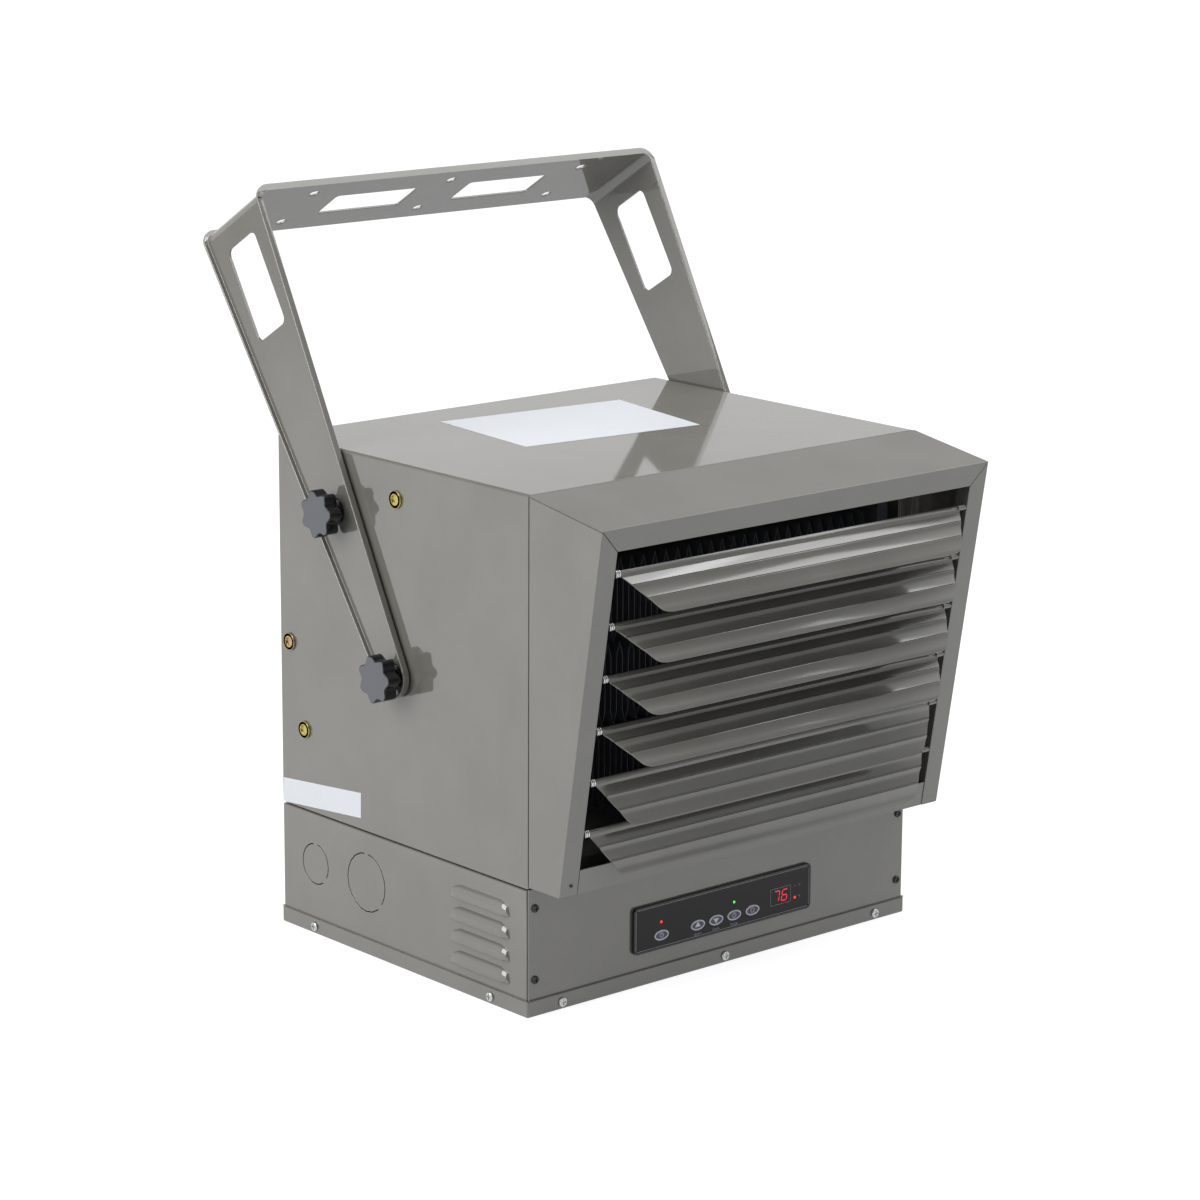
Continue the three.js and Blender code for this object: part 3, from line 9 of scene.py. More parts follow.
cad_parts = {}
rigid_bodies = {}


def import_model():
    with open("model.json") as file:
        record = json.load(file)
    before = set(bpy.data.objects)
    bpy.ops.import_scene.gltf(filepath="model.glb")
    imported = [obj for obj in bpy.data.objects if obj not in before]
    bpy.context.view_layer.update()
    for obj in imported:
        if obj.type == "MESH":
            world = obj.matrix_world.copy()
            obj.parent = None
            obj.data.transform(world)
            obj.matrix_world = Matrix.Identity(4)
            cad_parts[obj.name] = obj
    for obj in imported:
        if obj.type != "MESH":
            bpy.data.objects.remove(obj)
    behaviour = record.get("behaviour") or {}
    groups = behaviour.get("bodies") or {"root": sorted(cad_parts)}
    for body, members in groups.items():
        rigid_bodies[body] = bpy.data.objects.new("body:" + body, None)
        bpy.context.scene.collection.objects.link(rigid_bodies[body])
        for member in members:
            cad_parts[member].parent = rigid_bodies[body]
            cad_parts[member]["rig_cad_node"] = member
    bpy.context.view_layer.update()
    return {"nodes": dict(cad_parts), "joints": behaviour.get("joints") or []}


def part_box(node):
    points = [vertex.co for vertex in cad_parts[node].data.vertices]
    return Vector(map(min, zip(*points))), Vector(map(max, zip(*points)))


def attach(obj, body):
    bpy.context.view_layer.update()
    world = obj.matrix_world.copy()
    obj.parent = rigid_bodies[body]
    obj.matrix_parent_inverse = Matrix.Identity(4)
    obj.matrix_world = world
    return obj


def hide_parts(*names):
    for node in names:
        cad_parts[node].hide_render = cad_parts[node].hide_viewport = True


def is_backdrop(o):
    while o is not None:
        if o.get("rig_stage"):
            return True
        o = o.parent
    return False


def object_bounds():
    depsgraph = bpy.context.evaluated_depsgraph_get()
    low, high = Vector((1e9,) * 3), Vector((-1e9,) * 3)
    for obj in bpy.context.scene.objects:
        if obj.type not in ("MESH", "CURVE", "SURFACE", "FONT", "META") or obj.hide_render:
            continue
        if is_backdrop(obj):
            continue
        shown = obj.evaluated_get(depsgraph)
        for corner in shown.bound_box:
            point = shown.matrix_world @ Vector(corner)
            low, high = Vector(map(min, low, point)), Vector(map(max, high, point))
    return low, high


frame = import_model()
nodes = frame["nodes"]


# ---- Studio ------------------------------------------------------------------------------
# A pale floor under a white sweep. One wide soft box hangs overhead and one stands to the
# left, so the top is the brightest face, then the left side, then the front. A smaller one
# high on the right is mirrored by the louvers.

def linear(code):
    """The linear colour of an sRGB hex code such as #8d8b86."""
    channels = [int(code[i:i + 2], 16) / 255 for i in (1, 3, 5)]
    return [c / 12.92 if c <= 0.04045 else ((c + 0.055) / 1.055) ** 2.4 for c in channels] + [1]


def add(tree, kind, settings=None, links=None):
    """A node with its settings and links. A lower-case setting is the node's own property."""
    made = tree.nodes.new(kind)
    for key, value in (settings or {}).items():
        if isinstance(key, str) and key[0].islower():
            setattr(made, key, value)
        else:
            made.inputs[key].default_value = value
    for key, socket in (links or {}).items():
        tree.links.new(socket, made.inputs[key])
    return made


def deselect():
    bpy.ops.object.select_all(action="DESELECT")


def only(*chosen):
    """Selects these objects and nothing else, and makes the last one active."""
    deselect()
    for one in chosen:
        one.select_set(True)
    bpy.context.view_layer.objects.active = chosen[-1]


scene = bpy.context.scene
scene.view_settings.view_transform = "Standard"

# Everything outside is white, apart from four dim places that only reflections can show: the
# openings at the front, on either side of the camera, and the dark ceiling behind the sweep.
world = bpy.data.worlds.new("white_sweep")
scene.world = world
world.use_nodes = True
sky = world.node_tree
sky.nodes.clear()
toward = add(sky, "ShaderNodeTexCoord").outputs["Generated"]
light_path = add(sky, "ShaderNodeLightPath")
brightness = None
for aim, narrow, wide, dim in (((-0.62, -0.75, 0.22), 0.95, 0.80, 0.86),
                               ((-0.10, 0.70, 0.70), 0.92, 0.74, 0.70),
                               ((0.60, 0.61, 0.50), 0.995, 0.90, 0.50),
                               ((0.64, -0.72, 0.24), 0.95, 0.80, 0.55)):
    nearness = add(sky, "ShaderNodeVectorMath", {"operation": "DOT_PRODUCT"}, {0: toward})
    nearness.inputs[1].default_value = Vector(aim).normalized()
    patch = add(sky, "ShaderNodeMapRange", {
        "interpolation_type": "SMOOTHSTEP", "From Min": wide, "From Max": narrow,
        "To Min": 1.0, "To Max": 1.0 - dim}, {"Value": nearness.outputs["Value"]})
    if brightness is None:
        brightness = patch.outputs["Result"]
    else:
        brightness = add(sky, "ShaderNodeMath", {"operation": "MULTIPLY"}, {
            0: brightness, 1: patch.outputs["Result"]}).outputs[0]
mirrored = add(sky, "ShaderNodeBackground", {"Color": linear("#ffffff")},
               {"Strength": brightness})
lighting = add(sky, "ShaderNodeBackground", {"Color": linear("#f4f7fb"), "Strength": 0.6})
white = add(sky, "ShaderNodeBackground", {"Color": linear("#ffffff"), "Strength": 1.0})
seen_directly = add(sky, "ShaderNodeMath", {"operation": "MAXIMUM"}, {
    0: light_path.outputs["Is Camera Ray"], 1: light_path.outputs["Is Transmission Ray"]})
in_gloss = add(sky, "ShaderNodeMixShader", None, {
    "Fac": light_path.outputs["Is Glossy Ray"], 1: lighting.outputs[0], 2: mirrored.outputs[0]})
blend = add(sky, "ShaderNodeMixShader", None, {
    "Fac": seen_directly.outputs[0], 1: in_gloss.outputs[0], 2: white.outputs[0]})
add(sky, "ShaderNodeOutputWorld", None, {"Surface": blend.outputs[0]})

# The floor looks white to the camera and keeps the heater's shadow. In reflections it is pale
# grey, and darker far behind the heater. It throws back only a third of the light on it.
deselect()
bpy.ops.mesh.primitive_plane_add(size=60, location=(0, 0, -0.0005))
floor = bpy.context.object
floor.name = "floor"
floor_paper = bpy.data.materials.new("matt_white_paper")
floor_paper.use_nodes = True
tree = floor_paper.node_tree
tree.nodes.clear()
floor_path = add(tree, "ShaderNodeLightPath")
to_camera = add(tree, "ShaderNodeMath", {"operation": "MULTIPLY", 1: 0.86},
                {0: floor_path.outputs["Is Camera Ray"]})
on_floor = add(tree, "ShaderNodeTexCoord").outputs["Object"]
behind = add(tree, "ShaderNodeVectorMath", {"operation": "DOT_PRODUCT", 1: (1, 1, 0)},
             {0: on_floor})
to_gloss = add(tree, "ShaderNodeMapRange", {"From Min": 0.3, "From Max": 1.0, "To Min": 0.69,
                                            "To Max": 0.34}, {"Value": behind.outputs["Value"]})
to_all = add(tree, "ShaderNodeMath", {"operation": "MULTIPLY_ADD"},
             {0: floor_path.outputs["Is Glossy Ray"], 1: to_gloss.outputs["Result"],
              2: to_camera.outputs[0]})
glow = add(tree, "ShaderNodeEmission", {"Color": linear("#ffffff")},
           {"Strength": to_all.outputs[0]})
matt = add(tree, "ShaderNodeBsdfDiffuse", {"Color": [0.34, 0.34, 0.34, 1]})
both = add(tree, "ShaderNodeAddShader", None, {0: glow.outputs[0], 1: matt.outputs[0]})
add(tree, "ShaderNodeOutputMaterial", None, {"Surface": both.outputs[0]})
floor.data.materials.append(floor_paper)
floor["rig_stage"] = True


def soft_box(name, place, target, size, power):
    """A square area lamp that looks at a point."""
    deselect()
    bpy.ops.object.light_add(type="AREA", location=place)
    lamp = bpy.context.object
    lamp.name = name
    lamp.data.shape = "SQUARE"
    lamp.data.size = size
    lamp.data.energy = power
    lamp.visible_camera = False
    lamp.rotation_euler = (Vector(target) - Vector(place)).to_track_quat("-Z", "Y").to_euler()


soft_box("overhead_box", (0.3, -0.5, 2.6), (0, 0, 0.3), 1.8, 24)
soft_box("right_box", (1.6, -0.78, 2.1), (0, -0.25, 0.25), 1.2, 9)
soft_box("left_box", (-2.7, 0.5, 1.5), (0, 0, 0.25), 2.2, 64)

# The camera stands to the left of the front and looks slightly down.
camera_place = Vector((-2.0429, -2.3380, 1.0196))
heading = math.radians(41.20082)
pitch = math.radians(13.43103)
roll = math.radians(0.34644)
forward = Vector((math.sin(heading) * math.cos(pitch), math.cos(heading) * math.cos(pitch),
                  -math.sin(pitch)))
level_right = Vector((math.cos(heading), -math.sin(heading), 0))
level_up = level_right.cross(forward)
right = level_right * math.cos(roll) + level_up * math.sin(roll)
up = level_up * math.cos(roll) - level_right * math.sin(roll)
deselect()
bpy.ops.object.camera_add(location=camera_place)
camera = bpy.context.object
camera.matrix_world = Matrix.Translation(camera_place) @ Matrix(
    (right, up, -forward)).transposed().to_4x4()
camera.data.lens = 114.13
camera.data.sensor_width = 36
camera.data.clip_start = 0.05
camera.data.clip_end = 100
scene.camera = camera


# ---- Base pan ----------------------------------------------------------------------------
# A shallow tray folded from thin steel and sprayed with the same warm grey gloss enamel as
# the rest. Zinc plated pan-head screws go through its rim into the control box.

def new_material(name):
    """A fresh material with its node tree and its shader."""
    material = bpy.data.materials.new(name)
    material.use_nodes = True
    return material, material.node_tree, material.node_tree.nodes["Principled BSDF"]


def enamel(name, skin_roughness, deep="#66645d", pale="#716f68"):
    """Baked enamel on steel: a dark warm grey under a clear, hard skin that mirrors its
    surroundings, sharply where the skin is smooth."""
    material, tree, shader = new_material(name)
    shader.inputs["IOR"].default_value = 1.5
    shader.inputs["Specular IOR Level"].default_value = 0.1
    shader.inputs["Coat Weight"].default_value = 1.0
    shader.inputs["Coat Roughness"].default_value = skin_roughness
    shader.inputs["Coat IOR"].default_value = 1.9
    place = add(tree, "ShaderNodeTexCoord").outputs["Object"]
    # Spray builds up unevenly over some 60 mm, and its pigment is grainy at about 1 mm.
    cloud = add(tree, "ShaderNodeTexNoise", {"Scale": 16.0, "Detail": 3.0}, {"Vector": place})
    grain = add(tree, "ShaderNodeTexNoise", {"Scale": 1100.0, "Detail": 1.0}, {"Vector": place})
    depth = add(tree, "ShaderNodeMath", {"operation": "MULTIPLY_ADD", 1: 0.45}, {
        0: grain.outputs["Fac"]})
    tree.links.new(cloud.outputs["Fac"], depth.inputs[2])
    tint = add(tree, "ShaderNodeValToRGB", None, {"Fac": depth.outputs[0]})
    tint.color_ramp.elements[0].position = 0.45
    tint.color_ramp.elements[0].color = linear(deep)
    tint.color_ramp.elements[1].position = 1.0
    tint.color_ramp.elements[1].color = linear(pale)
    tree.links.new(tint.outputs["Color"], shader.inputs["Base Color"])
    sheen = add(tree, "ShaderNodeMapRange", {"To Min": 0.42, "To Max": 0.52},
                {"Value": cloud.outputs["Fac"]})
    tree.links.new(sheen.outputs["Result"], shader.inputs["Roughness"])
    # The skin has the faint ripple of sprayed enamel, some 3 mm from crest to crest.
    ripple = add(tree, "ShaderNodeTexNoise", {"Scale": 330.0, "Detail": 1.0}, {"Vector": place})
    skin = add(tree, "ShaderNodeBump", {"Strength": 0.05, "Distance": 0.0003},
               {"Height": ripple.outputs["Fac"]})
    tree.links.new(skin.outputs["Normal"], shader.inputs["Normal"])
    tree.links.new(skin.outputs["Normal"], shader.inputs["Coat Normal"])
    return material


def apply_modifier(piece, kind, **settings):
    only(piece)
    made = piece.modifiers.new(kind.lower(), kind)
    for key, value in settings.items():
        setattr(made, key, value)
    bpy.ops.object.modifier_apply(modifier=made.name)


def ease_edges(piece, width, angle, segments=2):
    """Rounds the edges sharper than an angle and keeps the wide faces flat."""
    apply_modifier(piece, "BEVEL", width=width, segments=segments, limit_method="ANGLE",
                   angle_limit=math.radians(angle), use_clamp_overlap=False)
    bpy.ops.object.shade_smooth_by_angle(angle=math.radians(angle))
    apply_modifier(piece, "WEIGHTED_NORMAL", keep_sharp=True)


def mark_folds(piece, share):
    """Gives each sharp edge a bevel weight: 1 on a fold between two broad faces of the sheet,
    and a share of that on its cut edges and inside corners."""
    sheet = bmesh.new()
    sheet.from_mesh(piece.data)
    weight = sheet.edges.layers.float.new("bevel_weight_edge")
    for edge in sheet.edges:
        if len(edge.link_faces) != 2 or edge.calc_face_angle(0) < math.radians(35):
            continue
        edge[weight] = share
        along = (edge.verts[1].co - edge.verts[0].co).normalized()
        breadths = []
        for face in edge.link_faces:
            across = face.normal.cross(along)
            breadths.append(max(abs((vertex.co - edge.verts[0].co).dot(across))
                                for vertex in face.verts))
        if edge.is_convex and edge.calc_length() > 0.012 and min(breadths) > 0.003:
            edge[weight] = 1
    sheet.to_mesh(piece.data)
    sheet.free()


def dressed(node, name, body, material, width=0.0003, angle=35, fold=0):
    """The piece that takes a CAD node's place: its sheet with rounded folds and edges."""
    only(nodes[node])
    bpy.ops.object.duplicate()
    piece = bpy.context.object
    piece.name = name
    del piece["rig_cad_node"]
    bpy.ops.object.mode_set(mode="EDIT")
    bpy.ops.mesh.select_all(action="SELECT")
    bpy.ops.mesh.remove_doubles(threshold=0.00001)
    bpy.ops.mesh.dissolve_limited(angle_limit=math.radians(0.3))
    bpy.ops.mesh.customdata_custom_splitnormals_clear()
    bpy.ops.object.mode_set(mode="OBJECT")
    if fold:
        mark_folds(piece, width / fold)
        apply_modifier(piece, "BEVEL", width=fold, segments=3, limit_method="WEIGHT",
                       use_clamp_overlap=False)
        bpy.ops.object.shade_smooth_by_angle(angle=math.radians(angle))
        apply_modifier(piece, "WEIGHTED_NORMAL", keep_sharp=True)
    else:
        ease_edges(piece, width, angle)
    finish(piece, body, material)
    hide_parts(node)
    return piece


def pull_edge(piece, axis, limit, shift):
    """Moves the edge of a sheet that lies beyond a limit, to open the dark seam beside it."""
    for vertex in piece.data.vertices:
        if vertex.co[axis] > limit:
            vertex.co[axis] += shift


def finish(piece, body, *materials):
    """Gives a piece its materials, puts its place into its mesh and lets it ride on a body."""
    piece.data.materials.clear()
    for material in materials:
        piece.data.materials.append(material)
    piece.parent = None
    only(piece)
    bpy.ops.object.transform_apply(location=True, rotation=True, scale=True)
    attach(piece, body)
    return piece


def joined(name, parts):
    """One piece out of several."""
    only(*parts)
    bpy.ops.object.join()
    piece = bpy.context.object
    piece.name = name
    return piece


painted = enamel("baked_gloss_enamel_on_steel", 0.04)
dressed("base_pan", "folded_base_pan", "cabinet", painted, 0.0003, fold=0.0014)


def metal(name, colour, low, high, grain, detail=2.0, metallic=1.0):
    """Plated, oxidised or bare metal: an even colour whose gloss wanders with its fine grain."""
    material, tree, shader = new_material(name)
    shader.inputs["Base Color"].default_value = linear(colour)
    shader.inputs["Metallic"].default_value = metallic
    place = add(tree, "ShaderNodeTexCoord").outputs["Object"]
    texture = add(tree, "ShaderNodeTexNoise", {"Scale": grain, "Detail": detail},
                  {"Vector": place})
    dull = add(tree, "ShaderNodeMapRange", {"To Min": low, "To Max": high},
               {"Value": texture.outputs["Fac"]})
    tree.links.new(dull.outputs["Result"], shader.inputs["Roughness"])
    return material


def pan_head(place, outward, diameter, height):
    """A pan-head screw: a turned dome with a cross recess driven into it."""
    deselect()
    bpy.ops.mesh.primitive_cylinder_add(vertices=32, radius=diameter / 2, depth=height)
    head = bpy.context.object
    apply_modifier(head, "BEVEL", width=height * 0.55, segments=4, limit_method="ANGLE",
                   angle_limit=math.radians(60))
    slot = diameter * 0.16
    for turn in (0, math.pi / 2):
        deselect()
        bpy.ops.mesh.primitive_cube_add(
            size=1, location=(0, 0, height * 0.55), rotation=(0, 0, turn),
            scale=(diameter * 0.62, slot, height))
        cutter = bpy.context.object
        apply_modifier(head, "BOOLEAN", operation="DIFFERENCE", object=cutter, solver="EXACT")
        bpy.data.objects.remove(cutter)
    only(head)
    bpy.ops.object.shade_smooth_by_angle(angle=math.radians(35))
    lean = Vector((0, 0, 1)).rotation_difference(Vector(outward)).to_matrix().to_4x4()
    head.matrix_world = Matrix.Translation(Vector(place)) @ lean
    return head


# Bright zinc plating on pressed screws is pale, slightly blue and softly grained.
zinc = metal("bright_zinc_plate", "#c9cbcb", 0.22, 0.4, 1500.0)
pan_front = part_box("base_pan")[0].y
pan_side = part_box("base_pan")[1].x
pan_screw = {"diameter": 0.0078, "height": 0.0022}
seat = 0.0009
rim_height = 0.0062
pan_screws = []
for x in (-0.175, 0.0016, 0.176):
    for side in (-1, 1):
        pan_screws.append(pan_head((x, side * (-pan_front + seat), rim_height), (0, side, 0),
                                   **pan_screw))
for y in (-0.116, 0.116):
    for side in (-1, 1):
        pan_screws.append(pan_head((side * (pan_side + seat), y, rim_height + 0.0003),
                                   (side, 0, 0), **pan_screw))
finish(joined("base_pan_screws", pan_screws), "cabinet", zinc)


# ---- Control box -------------------------------------------------------------------------
# A wrap of enamelled steel sheet below the seam. Four vents are pressed out of each side,
# and two knockouts for conduit are lanced into the left one.

wrap = dressed("control_box", "control_box_wrap", "cabinet", painted, 0.0003, 40, fold=0.0014)
sheet_metal = 0.0012
seam_pull = 0.0005
pull_edge(wrap, 2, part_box("control_box")[1].z - sheet_metal, -seam_pull)


# ---- Front cover -------------------------------------------------------------------------
# A flat enamelled sheet that closes the control box, held by four black screws.

cover = dressed("front_cover", "control_box_cover", "cabinet", painted, 0.0003)
# It ends just short of the box's sides, so that each corner shows two sheets.
corner_gap = 0.000945
cover.scale = (1 - corner_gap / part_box("front_cover")[1].x, 1, 1)
only(cover)
bpy.ops.object.transform_apply(location=False, rotation=False, scale=True)
# Black oxide leaves steel dark and oily. The same dark material paints the shade of the
# pressed dimple on the left flange.
black_screw_and_dimple_shade = metal("black_oxide_steel_and_painted_dimple_shade", "#404041", 0.18, 0.32, 900.0, metallic=0.7)
cover_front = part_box("front_cover")[0].y
cover_screw = {"diameter": 0.0068, "height": 0.002}
cover_screws = [pan_head((x, cover_front - 0.0008, z), (0, -1, 0), **cover_screw)
                for x in (-0.2025, 0.2025) for z in (0.0304, 0.0895)]
finish(joined("cover_screws", cover_screws), "cabinet", black_screw_and_dimple_shade)


# ---- Control panel -----------------------------------------------------------------------
# A moulded black bezel round a hard-coated black overlay, with a red two-digit display,
# lamps and five oval push buttons with silver rims.

def plastic(name, colour, low, high, grain, bump):
    """Moulded plastic: an even colour whose gloss wanders with the texture of the tool."""
    material, tree, shader = new_material(name)
    shader.inputs["Base Color"].default_value = linear(colour)
    shader.inputs["IOR"].default_value = 1.5
    place = add(tree, "ShaderNodeTexCoord").outputs["Object"]
    texture = add(tree, "ShaderNodeTexNoise", {"Scale": grain, "Detail": 2.0}, {"Vector": place})
    gloss = add(tree, "ShaderNodeMapRange", {"To Min": low, "To Max": high},
                {"Value": texture.outputs["Fac"]})
    tree.links.new(gloss.outputs["Result"], shader.inputs["Roughness"])
    relief = add(tree, "ShaderNodeBump", {"Strength": bump, "Distance": 0.0001},
                 {"Height": texture.outputs["Fac"]})
    tree.links.new(relief.outputs["Normal"], shader.inputs["Normal"])
    return material


def lit(name, colour, strength):
    """A lamp behind tinted plastic."""
    material, _, shader = new_material(name)
    shader.inputs["Base Color"].default_value = linear(colour)
    shader.inputs["Emission Color"].default_value = linear(colour)
    shader.inputs["Emission Strength"].default_value = strength
    return material


bezel_black = plastic("black_abs_moulding", "#161617", 0.16, 0.24, 800.0, 0.08)
overlay_black = plastic("hard_coated_polycarbonate", "#060607", 0.05, 0.09, 400.0, 0.0)
overlay_shader = overlay_black.node_tree.nodes["Principled BSDF"]
overlay_shader.inputs["Specular IOR Level"].default_value = 0.3
button_violet = plastic("grey_violet_silicone", "#57536a", 0.4, 0.5, 900.0, 0.1)
ink_white = plastic("white_screen_ink", "#e9e9ea", 0.4, 0.5, 900.0, 0.05)
silver_rim = plastic("silver_hot_foil", "#dcdce6", 0.2, 0.3, 700.0, 0.05)
dressed("panel_bezel", "control_panel_bezel", "cabinet", bezel_black, 0.0005)
dressed("panel_overlay", "control_panel_overlay", "cabinet", overlay_black, 0.0001)
dressed("display_module", "display_lens", "cabinet", overlay_black, 0.0001)
overlay_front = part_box("panel_overlay")[0].y
button_wide, button_tall = 0.0154, 0.0086
rim_width = 0.0012
dish = 0.00035
ink_depth = 0.0001

for word in ("power", "up", "down", "timer", "unit"):
    low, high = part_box(f"button_{word}")
    middle = (low + high) / 2
    deselect()
    bpy.ops.mesh.primitive_cylinder_add(vertices=48, radius=0.5, depth=high.y - low.y,
                                        location=middle, rotation=(math.pi / 2, 0, 0))
    cap = bpy.context.object
    cap.scale = (button_wide, button_tall, 1)
    bpy.ops.object.transform_apply(location=True, rotation=True, scale=True)
    cap.data.materials.append(silver_rim)
    cap.data.materials.append(button_violet)
    bpy.ops.object.mode_set(mode="EDIT")
    bpy.ops.mesh.select_mode(type="FACE")
    bpy.ops.mesh.select_all(action="DESELECT")
    bpy.ops.object.mode_set(mode="OBJECT")
    for face in cap.data.polygons:
        face.select = face.normal.y < -0.9
    bpy.ops.object.mode_set(mode="EDIT")
    bpy.ops.mesh.inset(thickness=rim_width, use_even_offset=False)
    bpy.ops.mesh.extrude_region_move(TRANSFORM_OT_translate={"value": (0, dish, 0)})
    cap.active_material_index = 1
    bpy.ops.object.material_slot_assign()
    bpy.ops.object.mode_set(mode="OBJECT")
    ease_edges(cap, 0.00012, 40)
    cap.name = f"push_button_{word}"
    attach(cap, f"button_{word}")
    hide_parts(f"button_{word}")
    face_y = low.y + dish

    # The sign on the cap is a thin layer of ink.
    signs = []
    if word in ("up", "down"):
        deselect()
        bpy.ops.mesh.primitive_cylinder_add(
            vertices=3, radius=0.0029, depth=ink_depth, location=(middle.x, face_y, middle.z),
            rotation=(math.pi / 2, math.pi if word == "down" else 0, 0))
        triangle = bpy.context.object
        triangle.scale = (1.25, 1, 1)
        signs.append(triangle)
    else:
        deselect()
        bpy.ops.mesh.primitive_torus_add(
            major_segments=32, minor_segments=6, major_radius=0.0019, minor_radius=0.00022,
            location=(middle.x, face_y, middle.z), rotation=(math.pi / 2, 0, 0))
        signs.append(bpy.context.object)
        if word != "unit":
            deselect()
            bpy.ops.mesh.primitive_cube_add(
                size=1, location=(middle.x, face_y, middle.z + 0.001),
                scale=(0.00035, 0.00016, 0.0019))
            signs.append(bpy.context.object)
    ink = joined(f"sign_on_{word}_button", signs)
    finish(ink, f"button_{word}", ink_white)

# Seven-segment digits lean to the right. Each bar is a thin pointed slip of red light.
display_low, display_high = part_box("display_module")
display_x, _, display_z = (display_low + display_high) / 2
display_red = lit("red_display_segment", "#e8283c", 1.1)
digit_half_height = 0.0046
digit_half_width = 0.0029
stroke = 0.0008
digit_lean = math.radians(10)
segments_of = {"7": "abc", "6": "acdefg"}
bars = {"a": (0, 1, 0), "b": (1, 0.5, 1), "c": (1, -0.5, 1), "d": (0, -1, 0),
        "e": (-1, -0.5, 1), "f": (-1, 0.5, 1), "g": (0, 0, 0)}
display_bars = []
for digit, beside in (("7", -0.0045), ("6", 0.0045)):
    for letter in segments_of[digit]:
        aside, above, upright = bars[letter]
        rise = above * digit_half_height
        half = (digit_half_height if upright else 2 * digit_half_width) / 2 - 0.0001
        deselect()
        bpy.ops.mesh.primitive_cylinder_add(vertices=6, radius=1, depth=0.00012,
                                            rotation=(math.pi / 2, 0, 0))
        bar = bpy.context.object
        bpy.ops.object.transform_apply(location=True, rotation=True, scale=True)
        for vertex in bar.data.vertices:
            at_tip = abs(vertex.co.z) < 0.1
            vertex.co.x = math.copysign(half if at_tip else half - stroke / 2, vertex.co.x)
            vertex.co.z = 0 if at_tip else math.copysign(stroke / 2, vertex.co.z)
        bar.location = (display_x + beside + aside * digit_half_width
                        + rise * math.tan(digit_lean), display_low.y, display_z + rise)
        if upright:
            bar.rotation_euler = (0, digit_lean + math.pi / 2, 0)
        display_bars.append(bar)
finish(joined("display_digits", display_bars), "cabinet", display_red)

# Grey screen ink for the printed lines and words. The same grey paints a highlight round the
# bezel's inner lip.
line_grey = plastic("grey_ink_and_painted_lip_highlight", "#96979c", 0.4, 0.5, 900.0, 0.05)


def line_frame(name, centre, half_width, half_height, line, depth, overrun):
    """Four thin bars round a rectangle on the panel. The level ones run past its corners."""
    lines = []
    for aside, above in ((0, -1), (0, 1), (-1, 0), (1, 0)):
        deselect()
        bpy.ops.mesh.primitive_cube_add(
            size=1, location=centre + Vector((aside * half_width, 0, above * half_height)),
            scale=(line, depth, 2 * half_height) if aside
            else (2 * half_width + overrun, depth, line))
        lines.append(bpy.context.object)
    finish(joined(name, lines), "cabinet", line_grey)


# A thin printed line frames the display, and a pale grey line round the bezel's inner lip is a
# painted highlight.
line_frame("display_outline", Vector((display_x, overlay_front, display_z)), 0.0115, 0.0071,
           0.00035, 0.0002, 0.00035)
lip_low, lip_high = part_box("panel_overlay")
lip_middle = (lip_low + lip_high) / 2
line_frame("painted_highlight_on_bezel_lip", Vector((lip_middle.x, overlay_front - 0.0001, lip_middle.z)),
           (lip_high.x - lip_low.x) / 2, (lip_high.z - lip_low.z) / 2, 0.0005, 0.0004, 0)

# Small printed words name the keys and the two units of the display.
word_height = 0.0032
unit_x = display_x + 0.0213
lamp_above, lamp_below = display_z + 0.0054, display_z - 0.0048
printed = {"\u00b0C": (unit_x, lamp_above), "\u00b0F": (unit_x, lamp_below)}
for word, key in (("TEMP+", "up"), ("TEMP-", "down"), ("TIMER", "timer")):
    low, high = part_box(f"button_{key}")
    printed[word] = ((low.x + high.x) / 2, low.z - 0.0028)
words = []
for word, (x, z) in printed.items():
    deselect()
    bpy.ops.object.text_add(location=(x, overlay_front - 0.00006, z - 0.0009),
                            rotation=(math.pi / 2, 0, 0))
    text = bpy.context.object
    text.data.body = word
    text.data.size = word_height
    text.data.align_x = "CENTER"
    text.data.resolution_u = 2
    only(text)
    bpy.ops.object.convert(target="MESH")
    words.append(bpy.context.object)
finish(joined("printed_words", words), "cabinet", line_grey)


def lamp_dot(name, x, z, material):
    """A small round lamp behind the overlay, domed by a fraction of a millimetre."""
    deselect()
    bpy.ops.mesh.primitive_uv_sphere_add(segments=24, ring_count=12, radius=0.0011,
                                         location=(x, overlay_front, z))
    dot = bpy.context.object
    dot.scale = (1, 0.2, 1)
    dot.name = name
    bpy.ops.object.shade_smooth()
    return finish(dot, "cabinet", material)


lamp_red = lit("red_lamp", "#ff2a1c", 2.2)
lamp_green = lit("green_lamp", "#35e04a", 2.2)
lamp_dark = plastic("unlit_lamp", "#3a3436", 0.2, 0.3, 600.0, 0.0)
button_middle = {word: sum(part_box(f"button_{word}"), Vector()) / 2
                 for word in ("power", "timer", "unit")}
above_button = 0.0112
lamp_dot("power_lamp", button_middle["power"].x - 0.0002,
         button_middle["power"].z + above_button, lamp_red)
lamp_dot("timer_lamp", button_middle["timer"].x,
         button_middle["timer"].z + above_button, lamp_green)
lamp_dot("unit_lamp_upper", display_x + 0.0166, lamp_above, lamp_dark)
lamp_dot("unit_lamp_lower", display_x + 0.0166, lamp_below, lamp_red)


# ---- Gear in the control box -------------------------------------------------------------
# Circuit board, contactors, terminal block and transformer: moulded and pressed parts that
# only show when the cover is off.

board_green = plastic("solder_mask_on_glass_epoxy", "#1f5a37", 0.3, 0.4, 500.0, 0.1)
cream_moulding = plastic("cream_phenolic_moulding", "#d8d4c8", 0.5, 0.6, 600.0, 0.2)
core_steel = plastic("varnished_core_laminations", "#55585c", 0.4, 0.6, 500.0, 0.3)


